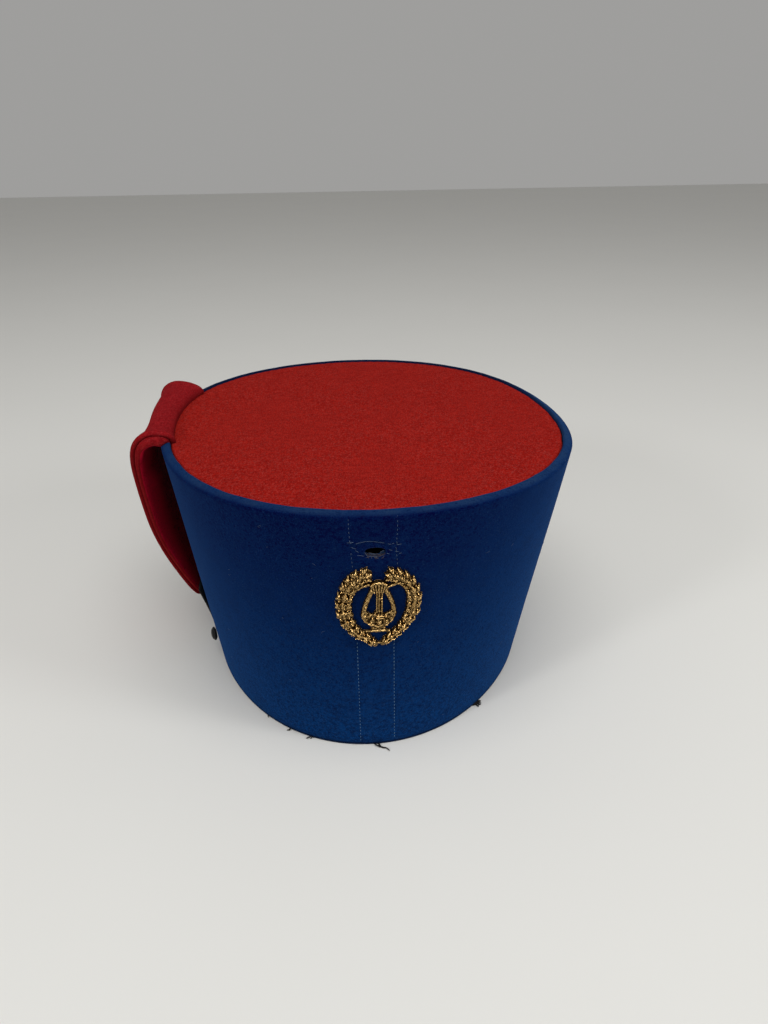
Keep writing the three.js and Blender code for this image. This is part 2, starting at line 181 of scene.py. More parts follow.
def new_material(name, **uniform):
    """A material with a Principled shader whose even values are set on its own sockets."""
    material = bpy.data.materials.new(name)
    material.use_nodes = True
    shader = material.node_tree.nodes["Principled BSDF"]
    feed(shader, **uniform)
    return material, material.node_tree, shader


def new_group(name, inputs, outputs):
    """An empty shader node group with named float, vector or colour sockets."""
    group = bpy.data.node_groups.new(name, "ShaderNodeTree")
    for label, kind in inputs.items():
        group.interface.new_socket(label, in_out="INPUT", socket_type="NodeSocket" + kind)
    for label, kind in outputs.items():
        group.interface.new_socket(label, in_out="OUTPUT", socket_type="NodeSocket" + kind)
    start = group.nodes.new("NodeGroupInput")
    end = group.nodes.new("NodeGroupOutput")
    return group, start.outputs, end


# %% [markdown]
# ## Floor and light
# The cap stands on a plain pale floor in soft studio light. A large lamp overhead gives the soft shadow,
# two smaller ones stand in front at the left and the right, and an even world fills the rest. The floor
# throws light back on the wall of the cap and brightens its lower half, and painted shade on the wall's felt
# darkens its upper half further.

# %% Floor and light
FLOOR_REACH, FLOOR_DROP = 4000, 0.05
FLOOR_PALE, FLOOR_DULL = (0.73, 0.725, 0.695, 1), (0.71, 0.705, 0.675, 1)
FLOOR_PATCHES = 6.0
WORLD_COLOUR, WORLD_STRENGTH = (1.0, 0.99, 0.97, 1), 0.345
LAMPS = {
    "overhead": {"place": (50, -700, 1650), "size": 1600, "watts": 18.0},
    "left": {"place": (-1000, -900, 800), "size": 260, "watts": 4.5},
    "right": {"place": (1100, -600, 700), "size": 400, "watts": 5.0},
}

material, tree, shader = new_material("pale_floor", Roughness=0.6)
feed(shader, Base_Color=blend(tree, noise(tree, FLOOR_PATCHES, 3.0), FLOOR_DULL, FLOOR_PALE))
corners = np.array([[-1, -1], [1, -1], [1, 1], [-1, 1]]) * FLOOR_REACH
floor_mesh = bpy.data.meshes.new("floor")
floor_mesh.from_pydata([(x * MM, y * MM, -FLOOR_DROP * MM) for x, y in corners], [], [(0, 1, 2, 3)])
floor_mesh.materials.append(material)
floor = bpy.data.objects.new("floor", floor_mesh)
bpy.context.scene.collection.objects.link(floor)

world = bpy.data.worlds.new("soft_studio")
world.use_nodes = True
feed(world.node_tree.nodes["Background"], Color=WORLD_COLOUR, Strength=WORLD_STRENGTH)
bpy.context.scene.world = world
bpy.context.scene.view_settings.view_transform = "Standard"

for name, lamp in LAMPS.items():
    light = bpy.data.lights.new(name, "AREA")
    light.shape, light.size, light.energy = "DISK", lamp["size"] * MM, lamp["watts"]
    holder = bpy.data.objects.new(name, light)
    x, y, z = lamp["place"]
    tip = Matrix.Rotation(math.atan2(math.hypot(x, y), z), 4, (-y, x, 0))
    holder.matrix_world = Matrix.Translation(np.array(lamp["place"]) * MM) @ tip
    bpy.context.scene.collection.objects.link(holder)
print("floor, world and", len(LAMPS), "lamps")

# %% [markdown]
# ## The felt
# Wool felt has no weave to speak of: short fibres lie every way, the cloth is a little cloudy, and the nap
# catches light at a grazing angle. A node group makes fibres, clouds and flecks once, and the blue wall,
# the red top and the bag use it with their own colours. The nap's sheen is the shader's own, and bluest on
# the wall. Wear, painted shade on the upper wall, along sewn edges and in deep hollows, and painted light
# on the bag's lining are marks: numbers that a piece carries at its points, each of which brings in a colour
# of its own, more on the raised fibres than between them.

# %% Wool nap
FIBRE_STRETCHES = ((1.0, 0.28, 1.0), (0.28, 1.0, 0.5))
FIBRE_SHARE, CLOUD_SHARE = 0.9, 0.1
TONE_RANGE, FLECK_RANGE = (0.42, 0.58), (0.50, 0.72)
WOOL_SCALES = {"Fibre": 1400.0, "Fleck": 1900.0, "Cloud": 120.0}


def make_wool_group():
    """Fibres are two noises drawn out in crossed directions, clouds a broad one, flecks a cut-off one."""
    group, start, end = new_group(
        "wool_nap",
        {"Vector": "Vector", "Fibre": "Float", "Fleck": "Float", "Cloud": "Float"},
        {"Tone": "Float", "Height": "Float", "Fleck": "Float"},
    )
    drawn = []
    for stretch in FIBRE_STRETCHES:
        place = add_node(group, "Mapping", None, Vector=start["Vector"], Scale=stretch).outputs[0]
        look = {"Scale": start["Fibre"], "Detail": 3.0, "Roughness": 0.6}
        drawn.append(add_node(group, "TexNoise", None, Vector=place, **look).outputs["Fac"])
    fibres = sums(group, "MULTIPLY", sums(group, "ADD", *drawn), 0.5)
    clouds = add_node(group, "TexNoise", None, Vector=start["Vector"], Scale=start["Cloud"], Detail=3.0)
    cloudy = sums(group, "MULTIPLY", clouds.outputs["Fac"], CLOUD_SHARE)
    tone = sums(group, "ADD", sums(group, "MULTIPLY", fibres, FIBRE_SHARE), cloudy)
    fine = add_node(group, "TexNoise", None, Vector=start["Vector"], Scale=start["Fleck"], Detail=2.0)
    flecks = spread(group, fine.outputs["Fac"], *FLECK_RANGE)
    feed(end, Tone=spread(group, tone, *TONE_RANGE), Height=fibres, Fleck=flecks)
    return group


WOOL = make_wool_group()
print("node group:", WOOL.name)

# %% Three felts
NAP_DEPTH, NAP_STRENGTH, FLECK_SHARE, MARK_RANGE = 0.25, 0.55, 0.4, (0.30, 0.62)
FELT_LOOKS = {
    "blue_felt": {
        "deep": (0.0002, 0.0070, 0.042, 1),
        "lit": (0.0008, 0.0300, 0.129, 1),
        "fleck": (0.022, 0.062, 0.165, 1),
        "nap": 0.13,
        "nap_tint": (0.09, 0.34, 0.97, 1),
        "marks": {
            # Painted shade: the wall's felt darkens with height, less on the right side.
            "shade": (0.0005, 0.0005, 0.026, 1),
            "worn": (0.013, 0.030, 0.072, 1),
            "raw": (0.042, 0.036, 0.042, 1),
            # Seam: a dark line along the hem, and painted shade in the seam's groove and over the back of the
            # shoulder.
            "seam": (0.002, 0.003, 0.012, 1),
        },
    },
    "red_felt": {
        "deep": (0.18, 0.0037, 0.0025, 1),
        "lit": (0.29, 0.0092, 0.0055, 1),
        "fleck": (0.39, 0.085, 0.074, 1),
    },
    "bag_felt": {
        "deep": (0.150, 0.0030, 0.0050, 1),
        "lit": (0.245, 0.0078, 0.0105, 1),
        "fleck": (0.32, 0.047, 0.050, 1),
        "marks": {
            # Painted shade along the seam, the turned hem and the crease.
            "sewn_shade": (0.055, 0.0010, 0.0020, 1),
            # Painted light on the lining's face.
            "lining": (0.50, 0.0060, 0.0270, 1),
            # Painted shade in the hollow behind the near edge.
            "hollow": (0.006, 0.0003, 0.0008, 1),
        },
    },
}


def felt_material(name, deep, lit, fleck, marks=None, nap=0.06, nap_tint=None):
    """Felt between a deep and a lit colour, with paler flecks; each named mark brings in its own colour."""
    sheen = {"Sheen_Weight": nap, "Sheen_Roughness": 0.5, "Sheen_Tint": nap_tint or lit}
    material, tree, shader = new_material(name, Roughness=0.95, Specular_IOR_Level=0.015, **sheen)
    wool = add_node(tree, "Group", {"node_tree": WOOL}, Vector=own_place(tree), **WOOL_SCALES).outputs
    colour = blend(tree, wool["Tone"], deep, lit)
    colour = blend(tree, sums(tree, "MULTIPLY", wool["Fleck"], FLECK_SHARE), colour, fleck)
    for mark, tint in (marks or {}).items():
        amount = add_node(tree, "Attribute", {"attribute_name": mark}).outputs["Fac"]
        share = sums(tree, "MULTIPLY", amount, spread(tree, wool["Height"], *MARK_RANGE))
        colour = blend(tree, share, colour, tint)
    feed(shader, Base_Color=colour, Normal=bumps(tree, wool["Height"], NAP_STRENGTH, NAP_DEPTH))
    return material


felts = {name: felt_material(name, **look) for name, look in FELT_LOOKS.items()}
print("felts:", ", ".join(felts))

# %% [markdown]
# ## The plan of the cap
# Everything follows two ovals: the base, which goes round the head, and the wider top. Each is an ellipse,
# pulled in or out at its corners and turned a little, because the felt has gone slightly askew. The wall is
# ruled between them, so its radius is a straight mix of the two at each plan angle.

# %% Ovals and wall
CAP_HEIGHT, WALL_THICKNESS, HEM_ROUND = 128.9, 3.0, 0.8
SHOULDER = {"inset": 4.6, "drop": 1.8, "roll": 0.9, "slope": 1.5}
SHOULDER_NARROW = {"by": 1.6, "at": 100, "reach": 70}
SHOULDER_START = CAP_HEIGHT - SHOULDER["drop"]
BASE_OVAL = {"across": 84.7, "along": 104.5, "squareness": -0.0134, "turn": -3.2}
TOP_OVAL = {"across": 105.2, "along": 120.1, "squareness": 0.0131, "turn": 8.5}
# Columns: reach of a wave, number of waves round the cap, and start.
SEAM_WANDER = ((0.10, 23, 1), (0.07, 41, 2), (0.05, 67, 0))
FRONT = -math.pi / 2


def oval_radius(oval, angle):
    """Ellipse radius at a plan angle, times one less the squareness times the cosine of four times it."""
    local = angle - math.radians(oval["turn"])
    ellipse = 1 / np.hypot(np.cos(local) / oval["across"], np.sin(local) / oval["along"])
    return ellipse * (1 - oval["squareness"] * np.cos(4 * local))


def wall_radius(angle, z):
    """The straight mix of the base and top ovals, by height."""
    share = z / SHOULDER_START
    return oval_radius(BASE_OVAL, angle) * (1 - share) + oval_radius(TOP_OVAL, angle) * share


def polar(angle, radius, z):
    """Points from plan angle, radius and height."""
    return np.stack(np.broadcast_arrays(radius * np.cos(angle), radius * np.sin(angle), z), axis=-1)


def seam_radius(angle):
    """The top oval less the shoulder's inset, narrower at the back, plus the wander of hand sewing."""
    wander = sum(reach * np.sin(waves * angle + start) for reach, waves, start in SEAM_WANDER)
    away = (np.degrees(angle) - SHOULDER_NARROW["at"] + 180) % 360 - 180
    narrow = SHOULDER_NARROW["by"] * np.exp(-((away / SHOULDER_NARROW["reach"]) ** 2))
    return oval_radius(TOP_OVAL, angle) - SHOULDER["inset"] + narrow + wander


def front_angle(across, z):
    """The plan angle at an arc length from the front line."""
    return FRONT + across / wall_radius(FRONT, z)


def on_wall(across, z, proud):
    """Points on the front of the wall, lifted off it by proud."""
    angle = front_angle(across, z)
    return polar(angle, wall_radius(angle, z) + proud, z)


print(f"girth of the base about {2 * math.pi * (BASE_OVAL['across'] + BASE_OVAL['along']) / 2:.0f} mm")

# %% [markdown]
# ## The blue wall
# The wall is felt about 3 mm thick that is bent over at the shoulder. It could be a solid with a cut in it,
# but a grid keeps its rows even. Its section is one closed line, from the hem up the outside, over the
# sloping shoulder to the seam and back down the inside, and it is carried round the oval. The plume slot is
# a row of cells left open in the grid, with the rows around it pushed apart, so that its edge is clean and
# its thickness shows. Two lines of stitching pull shallow grooves into the front.

# %% Relief of the wall
SLOT = {"across": 0.6, "z": 110.5, "length": 8.8, "height": 4.0, "ease": 5.0}
EYE = {"across": -1.0, "z": 112.0, "length": 7.8, "height": 4.2, "depth": 0.55}
EYE_EDGE = (0.82, 1.12)
STITCH_LINES = {
    "z": [3, 60, 104, 112, 121],
    "left": [-7.8, -8.0, -8.95, -9.5, -9.95],
    "right": [8.4, 8.2, 9.7, 9.1, 9.65],
}
GROOVE = {"depth": 0.22, "width": 0.7}
# Columns: height of a wave, number of waves round the cap, start, and the rise over which it leans.
WALL_WAVES = ((0.16, 3, 1.0, 70), (0.10, 7, 0, 23))


def stitch_line(side, z):
    """Arc length from the front line to a line of stitching, along straight runs between a few heights."""
    return np.interp(z, STITCH_LINES["z"], STITCH_LINES[side])


def smooth_step(value, low, high):
    """Rises from 0 at low to 1 at high along 3t squared less 2t cubed."""
    t = np.clip((value - low) / (high - low), 0, 1)
    return t * t * (3 - 2 * t)


def wall_relief(angle, z):
    """How far the felt stands off the ruled wall: slow waves, two stitched grooves and a pressed eye."""
    body = np.sin(np.pi * np.clip(z / SHOULDER_START, 0, 1))
    waves = [by * np.sin(turns * angle + start + z / rise) for by, turns, start, rise in WALL_WAVES]
    relief = body * sum(waves)
    across = (angle - FRONT) * wall_radius(FRONT, z)
    for side in ("left", "right"):
        gap = (across - stitch_line(side, z)) / GROOVE["width"]
        relief = relief - GROOVE["depth"] * np.exp(-gap * gap) * (z < SHOULDER_START)
    reach = np.hypot((across - EYE["across"]) / EYE["length"], (z - EYE["z"]) / EYE["height"])
    return relief - EYE["depth"] * (1 - smooth_step(reach, *EYE_EDGE))


# %% Sections of the wall
FRONT_SPAN, FRONT_COLUMNS, SIDE_COLUMNS = math.radians(7), 100, 290
FINE_START, FINE_END, FINE_STEP = 103.25, 119, 0.5
HEM_STEPS, BEND_STEPS, ROLL_STEPS = 4, 8, 4
SEAM_CLEARANCE = 0.5
front_steps = FRONT + np.linspace(-FRONT_SPAN, FRONT_SPAN, FRONT_COLUMNS + 1)[:-1]
side_steps = FRONT + np.linspace(FRONT_SPAN, 2 * math.pi - FRONT_SPAN, SIDE_COLUMNS + 1)[:-1]
angles = np.concatenate([front_steps, side_steps])
rows = np.concatenate([
    [HEM_ROUND, 1.3],
    np.linspace(2.0, FINE_START, 42)[:-1],
    np.arange(FINE_START, FINE_END, FINE_STEP),
    np.linspace(119.3, SHOULDER_START, 5),
])


def slot_share(angle):
    """How far an angle lies from the slot's middle, as a share of half its length."""
    return ((angle - FRONT) * wall_radius(FRONT, SLOT["z"]) - SLOT["across"]) / (SLOT["length"] / 2)


def slot_rows(angle, z):
    """Row heights pushed away from the slot's middle line by half its height there, less with distance."""
    half = SLOT["height"] / 2 * np.sqrt(np.clip(1 - slot_share(angle) * slot_share(angle), 0, 1))
    away = z - SLOT["z"]
    return z + np.sign(away) * half * np.exp(-np.abs(away) / SLOT["ease"])


def wall_sections(angle):
    """Closed section at each plan angle, as rows of points: hem, outside, shoulder, seam edge and inside."""
    a = angle[None, :]
    hem = np.linspace(-math.pi / 2, 0, HEM_STEPS + 1)[:-1, None]
    bend = np.linspace(0, math.pi / 2, BEND_STEPS + 1)[1:, None]
    slope = np.clip([np.cos(bend), np.sin(bend)], 0, 1) ** SHOULDER["slope"]
    rolled = bend[1::2]
    z = slot_rows(a, rows[:, None])
    base = wall_radius(a, HEM_ROUND) - HEM_ROUND
    seam = seam_radius(a)
    crest = seam + SHOULDER["roll"]
    bow = oval_radius(TOP_OVAL, a) - crest
    under = CAP_HEIGHT - WALL_THICKNESS
    inside = np.minimum(z, under - SEAM_CLEARANCE)
    roll_drop = SHOULDER["roll"] * (1 - np.cos(rolled))
    return np.concatenate([
        polar(a, wall_radius(a, 0) - WALL_THICKNESS, np.zeros((1, 1))),
        polar(a, base + HEM_ROUND * np.cos(hem), HEM_ROUND * (1 + np.sin(hem))),
        polar(a, wall_radius(a, z) + wall_relief(a, z), z),
        polar(a, crest + bow * slope[0], SHOULDER_START + SHOULDER["drop"] * slope[1]),
        polar(a, crest - SHOULDER["roll"] * np.sin(rolled), CAP_HEIGHT - roll_drop),
        polar(a, seam, np.full((1, 1), under)),
        polar(a, wall_radius(a, inside) - WALL_THICKNESS, inside)[::-1],
    ])


sections = wall_sections(angles)
count, around = sections.shape[:2]
slot_row = int(np.searchsorted(rows, SLOT["z"])) - 1
outer_low, inner_low = 1 + HEM_STEPS + slot_row, count - 1 - slot_row
inside_slot = np.abs(slot_share(angles)) < 1
open_columns = np.flatnonzero(inside_slot & np.roll(inside_slot, -1))
print(f"wall of {count} by {around} points, slot over {len(open_columns)} columns")

# %% [markdown]
# ## Marks and faces of the wall
# Painted shade makes the felt darker towards the shoulder and less dark on the right side, and more painted
# shade lies in the seam's groove and over the back of the shoulder. The felt is also rubbed in patches along
# the shoulder, grey where the slot is cut, and dark in the line under the hem. These could be painted by
# hand, but each one follows from height and plan angle, so they are worked out for every point and go with
# the mesh.

# %% Wall felt
WEAR = {"mean": 0.65, "patches": 0.2, "right": 0.15, "around": 31, "sway": 2, "sways": 9}
SHADE = {"most": 1.3, "shoulder": 0.5, "right": 0.4, "turn": 0.35}
SHADE_RIGHT, CREST_EASE = (0.55, 0.95), 0.4
HEM_DARK, HEM_RANGE = 1.5, (1.2, 2.3)
SEAM_BACK, ROLL_BACK, ROLL_LEAST = (0.1, 0.8), (0.0, 0.6), 0.3
RAW_LOWER, RAW_UPPER = 1, 0.4


def slot_walls():
    """Faces of the cut edge: along the lower and upper lips, and across the two ends of the slot."""
    here, there = open_columns, open_columns + 1
    outer_up, inner_up = outer_low + 1, inner_low - 1
    first, last = here[:1], there[-1:]
    strips = [
        [(outer_low, here), (outer_low, there), (inner_low, there), (inner_low, here)],
        [(outer_up, there), (outer_up, here), (inner_up, here), (inner_up, there)],
        [(outer_up, first), (outer_low, first), (inner_low, first), (inner_up, first)],
        [(outer_low, last), (outer_up, last), (inner_up, last), (inner_low, last)],
    ]
    faces = [np.stack([row * around + column for row, column in strip], axis=-1) for strip in strips]
    return np.concatenate(faces)


def wall_marks(heights, angle):
    """Painted shade by height; worn in shoulder patches; raw on the slot's lips; seam: dark hem, painted edge
    shade.
    """
    patches = np.sin(WEAR["around"] * angle + WEAR["sway"] * np.sin(WEAR["sways"] * angle))
    rubbed = WEAR["mean"] + WEAR["patches"] * patches + WEAR["right"] * np.cos(angle)
    on_shoulder = smooth_step(heights, SHOULDER_START, CAP_HEIGHT - CREST_EASE)
    # Painted shade: darker towards the shoulder, less on the shoulder itself and on the right side.
    shade = SHADE["most"] * np.clip(heights / SHOULDER_START, 0, 1) * (1 - SHADE["shoulder"] * on_shoulder)
    shade *= 1 - SHADE["right"] * smooth_step(np.cos(angle + SHADE["turn"]), *SHADE_RIGHT)
    raw = np.zeros_like(heights)
    raw[np.ix_([outer_low, inner_low], open_columns[1:])] = RAW_LOWER
    raw[np.ix_([outer_low + 1, inner_low - 1], open_columns[1:])] = RAW_UPPER
    seam = HEM_DARK * (1 - smooth_step(heights, *HEM_RANGE))
    roll = 1 + HEM_STEPS + len(rows) + BEND_STEPS
    # Painted shade over the back of the shoulder and in the seam's groove, deepest at the back.
    seam[roll - BEND_STEPS:roll] = smooth_step(np.sin(angle), *SEAM_BACK)
    rolled = smooth_step(np.sin(angle), *ROLL_BACK)
    seam[roll - 1:roll + ROLL_STEPS + 1] = ROLL_LEAST + (1 - ROLL_LEAST) * rolled
    return {"shade": shade, "worn": on_shoulder * rubbed, "raw": raw, "seam": seam}


quads = grid_quads(count, around, wrap_rows=True, wrap_columns=True)
row_of, column_of = quads[:, 0] // around, quads[:, 0] % around
cut = np.isin(row_of, [outer_low, inner_low - 1]) & np.isin(column_of, open_columns)
wall_quads = np.concatenate([quads[~cut], slot_walls()])
marks = wall_marks(sections[..., 2], angles)
put_piece("wall_felt", sections, wall_quads, felts["blue_felt"], "blue_felt", "crown_wall", marks)

# %% [markdown]
# ## The red top
# The top is an oval of red felt, sewn edge to edge with the end of the shoulder. A flat disc would look
# like card, so it is made of rings: the upper face with slow waves, a rolled edge that dips into the seam
# with small puckers between the stitches, and a plain underside. Its first and last rings close on the
# middle.

# %% Top felt
TOP_RECESS, TOP_THICKNESS, TOP_ROLL, TOP_DIP = 0.7, 2.4, 1.3, 0.12
SEWN_GAP, POLE_SHARE = 0.3, 0.004
PUCKER = {"depth": 0.14, "pitch": 5.2, "reach": 3.5}
SWELL, SWELL_X, SWELL_Y, SWELL_START = 0.22, 21, 27, 0.8
RIPPLE, RIPPLE_X, RIPPLE_Y = 0.10, 9, 13
RIM_POWER = 6
TOP_COLUMNS, EDGE_STEPS = 360, 6
upper_shares = np.concatenate([[POLE_SHARE], np.linspace(0.06, 0.9, 15), np.linspace(0.92, 1.0, 9)])
under_shares = np.array([1.0, 0.97, 0.5, POLE_SHARE])


def top_rings(angle):
    """Rings of shares of the rim's radius, less a quarter-round edge, lifted by waves and by puckers."""
    rim = seam_radius(angle)[None, :] - SEWN_GAP
    share, under_share = upper_shares[:, None], under_shares[:, None]
    radius = share * (rim - TOP_ROLL)
    x, y = radius * np.cos(angle), radius * np.sin(angle)
    waves = SWELL * np.sin(x / SWELL_X + SWELL_START) * np.cos(y / SWELL_Y)
    waves = waves + RIPPLE * np.sin(x / RIPPLE_X - y / RIPPLE_Y)
    ripple = np.cos(2 * np.pi * (angle * rim.mean()) / PUCKER["pitch"])
    pucker = PUCKER["depth"] * ripple * np.exp(-(rim - radius) / PUCKER["reach"])
    crest = CAP_HEIGHT - TOP_RECESS
    face = polar(angle, radius, crest + waves * (1 - share**RIM_POWER) - TOP_DIP + pucker)
    bend = np.linspace(0, math.pi / 2, EDGE_STEPS + 1)[1:, None]
    edge_z = crest - TOP_DIP + pucker[-1:] * np.cos(bend) - TOP_ROLL * (1 - np.cos(bend))
    edge = polar(angle, rim - TOP_ROLL + TOP_ROLL * np.sin(bend), edge_z)
    under = polar(angle, rim * under_share, np.full_like(under_share, crest - TOP_THICKNESS))
    return np.concatenate([face, edge, under])


def closed_rings(rings):
    """Faces between rings, and fans over the first and last, two steps and the ring's first point each."""
    count, columns = rings.shape[:2]
    step = np.arange(1, columns - 2, 2)
    first = np.stack([np.zeros_like(step), step + 2, step + 1, step], axis=-1)
    last = np.stack([np.zeros_like(step), step, step + 1, step + 2], axis=-1) + (count - 1) * columns
    return np.concatenate([grid_quads(count, columns, wrap_columns=True), first, last])


rings = top_rings(np.linspace(0, 2 * math.pi, TOP_COLUMNS + 1)[:-1])
put_piece("top_felt", rings, closed_rings(rings), felts["red_felt"], "red_felt", "crown_top")

# %% [markdown]
# ## The bag
# The bag is two layers of red cloth, sewn together along their edges and turned, so a crease runs round the
# edge between two soft bulges. It is sewn into the seam on the left, rolls over the rim and hangs off the
# wall to a tip near the base. A short table gives its course from the seam to the tip, a smooth curve runs
# through the rows, and the section is carried along it. It was shaped from the photograph, because
# a drape would lose the stiff roll that the sewn seam gives it.

# %% Hung cloth
# Columns: height, stand off the wall, bow in the middle, flare at the far edge, near and far plan angles.
HEIGHT, NEAR, FAR = 0, 4, 5
BAG_ROWS = np.array([
    [127.6, -5.0, 0.4, 0.4, 197.0, 149.2],
    [130.6, -4.5, 1.4, 2.0, 197.6, 149.4],
    [132.8, -0.8, 2.4, 5.2, 197.8, 149.8],
    [132.9, 4.6, 4.0, 8.0, 197.2, 150.0],
    [130.2, 9.8, 6.8, 9.6, 196.5, 150.2],
    [125.2, 13.4, 8.8, 9.6, 195.6, 150.4],
    [117.0, 15.6, 9.4, 8.0, 194.4, 150.6],
    [106.0, 16.6, 8.6, 4.8, 193.0, 151.2],
    [92.0, 17.2, 7.2, 2.2, 191.6, 152.2],
    [77.0, 17.2, 6.0, 1.0, 190.2, 154.4],
    [62.0, 15.4, 4.4, 0.4, 188.8, 157.2],
    [48.0, 11.8, 2.4, 0.0, 187.8, 160.6],
    [37.0, 8.4, 0.6, 0.0, 186.6, 164.2],
    [29.0, 6.2, 0.0, 0.0, 184.0, 167.4],
    [24.0, 5.0, 0.0, 0.0, 179.4, 170.8],
])
BOW_POWER, FLARE_POWER, FLARE_DROP = 3, 1.7, 0.2
NORMAL_STEP = 2e-3


def smooth_course(table, share):
    """A curve through the table's rows: each stretch is a cubic that leaves a row along its neighbours."""
    last = len(table) - 1
    start = np.clip((share * last).astype(int), 0, last - 1)
    t = (share * last - start)[..., None]
    ends = np.vstack([2 * table[0] - table[1], table, 2 * table[-1] - table[-2]])
    before, here, there, after = (ends[start + i] for i in range(4))
    bend = 2 * before - 5 * here + 4 * there - after
    return here + t / 2 * (there - before + t * (bend + t * (3 * here - before - 3 * there + after)))


def hung_cloth(table, over, down):
    """Points at mid thickness: off the wall by stand, less the middle's bow, plus the far edge's flare."""
    z, stand, bow, flare, near, far = np.moveaxis(smooth_course(table, down), -1, 0)
    angle = np.radians(near + (far - near) * over)
    flare = flare * np.abs(over) ** FLARE_POWER
    z = z - FLARE_DROP * flare
    stand = stand + flare - bow * (1 - np.abs(2 * over - 1) ** BOW_POWER)
    return polar(angle, wall_radius(angle, z) + stand, z)


def cloth_normal(table, over, down):
    """The unit direction square to the cloth, from two small steps along it."""
    across = hung_cloth(table, over + NORMAL_STEP, down) - hung_cloth(table, over - NORMAL_STEP, down)
    low, high = np.clip(down - NORMAL_STEP, 0, 1), np.clip(down + NORMAL_STEP, 0, 1)
    along = hung_cloth(table, over, high) - hung_cloth(table, over, low)
    normal = np.cross(along, across)
    return normal / np.linalg.norm(normal, axis=-1, keepdims=True)


# %% [markdown]
# ## The turned section
# Two layers of cloth could be two surfaces, but their edges would then have to meet by hand. Here one
# closed line goes round both: along the lining, round a bulge for each layer with the crease between them,
# and back over the outer face. It swells along the hems, and the lining swells near the roll, where the
# turned cloth bunches.

# %% Cloth section
CREASE, CREASE_HALF, LAYER = 0.34, 0.02, 0.25
HEM_REACH, TIP_ROUND, LEAST_BODY = 5.0, 0.015, 0.03
HEM_FADE = {"down": [0, 0.5, 0.8, 1], "share": [1, 1, 0.5, 0.1]}


def turned_section(face_steps, bulge_steps):
    """One round of a turned double cloth, from the far crease: share over, inset and offset."""
    swing = np.linspace(0, math.pi, bulge_steps + 1)[1:-1]
    inset, rise = LAYER * (1 - np.sin(swing)), LAYER * np.cos(swing)
    lining = np.stack([0 * swing, inset, LAYER + rise], axis=-1)
    outer = np.stack([0 * swing, inset, rise - LAYER], axis=-1)
    near = np.concatenate([lining, [[0, CREASE, CREASE_HALF], [0, CREASE, -CREASE_HALF]], outer])
    far = near[::-1] * [1, -1, 1] + [1, 0, 0]
    share = np.linspace(1, 0, face_steps)
    face = np.stack([share, LAYER - 2 * LAYER * share, 2 * LAYER + 0 * share], axis=-1)
    half = len(far) // 2
    return np.concatenate([far[half:], face, near, face[::-1] * [1, 1, -1], far[:half]])


def cloth_loops(table, thickness, down, section, swell=0.0, lining=0.0):
    """The section carried down the cloth, thicker along its hems and the near lining, closing at the tip."""
    course = smooth_course(table, down)
    near_angle = np.radians(course[:, NEAR])
    width = np.radians(np.abs(course[:, NEAR] - course[:, FAR])) * wall_radius(near_angle, course[:, HEIGHT])
    from_near = section[None, :, 0] * width[:, None]
    near_hem = np.exp(-((from_near / HEM_REACH) ** 2))
    hems = near_hem + np.exp(-(((width[:, None] - from_near) / HEM_REACH) ** 2))
    fade = np.interp(down, HEM_FADE["down"], HEM_FADE["share"])[:, None]
    thick = thickness * (1 + swell * hems * fade)
    over = section[None, :, 0] + section[None, :, 1] * thick / width[:, None]
    downs = np.broadcast_to(down[:, None], over.shape)
    end = np.clip((1 - down) / TIP_ROUND, 0, 1)
    body = np.sqrt(np.clip(1 - (1 - end) ** 2, LEAST_BODY, 1))
    bulge = np.broadcast_to(lining, down.shape)[:, None] * near_hem
    offset = section[None, :, 2] * thick * body[:, None] * np.where(section[None, :, 2] > 0, 1 + bulge, 1)
    return hung_cloth(table, over, downs) + cloth_normal(table, over, downs) * offset[..., None]


def closed_strip(loops):
    """Faces between loops, and faces across the first and last loop from one side to the other."""
    count, points = loops.shape[:2]
    step = np.arange(0, points // 2 - 1)
    mirror = points - 1 - step
    first = np.stack([step, mirror, mirror - 1, step + 1], axis=-1)
    last = first[:, ::-1] + (count - 1) * points
    return np.concatenate([grid_quads(count, points, wrap_columns=True), first, last])


# %% Bag cloth
BAG_THICKNESS, HEM_SWELL = 3.2, 0.6
LINING_SWELL = {"down": [0, 0.06, 0.13, 0.24, 0.36, 0.5], "share": [0.3, 0.9, 1.2, 1.0, 0.4, 0.0]}
TIP_START = 1 - TIP_ROUND
bag_down = np.concatenate([np.linspace(0, TIP_START, 150), np.linspace(TIP_START, 1, 7)[1:]])
bag_section = turned_section(64, 9)
lining = np.interp(bag_down, LINING_SWELL["down"], LINING_SWELL["share"])
bag_loops = cloth_loops(BAG_ROWS, BAG_THICKNESS, bag_down, bag_section, HEM_SWELL, lining)
print(f"bag of {len(bag_down)} loops with {len(bag_section)} points each")

# %% [markdown]
# ## Painted light and shade on the bag
# Painted shade darkens the cloth where it is sewn into the seam and along its turned hem, and most in the
# crease. Painted light brightens its lining, and painted shade lies deep in the hollow behind the near edge.
# Light alone gives only part of that here, so three marks say where each of them is on the cloth.

# %% Bag marks
SEWN_SHADE_REACH, LINING_PAINTED_LIGHT, INNER_OFFSET = 0.05, 1.7, 0.45
HEM_SHADE, HEM_SHADE_RANGE, CREASE_SHADE = 0.35, (0.15, 0.4), 1.6
# Painted shade in the hollow: where it starts and ends across the lining, by rows down the bag.
HOLLOW = {
    "down": [0.24, 0.33, 0.42, 0.47, 0.53, 0.62, 0.80],
    "start": [0.50, 0.10, 0.00, 0.00, 0.08, 0.04, 0.00],
    "end": [0.90, 0.26, 0.30, 0.17, 0.34, 0.36, 0.32],
}


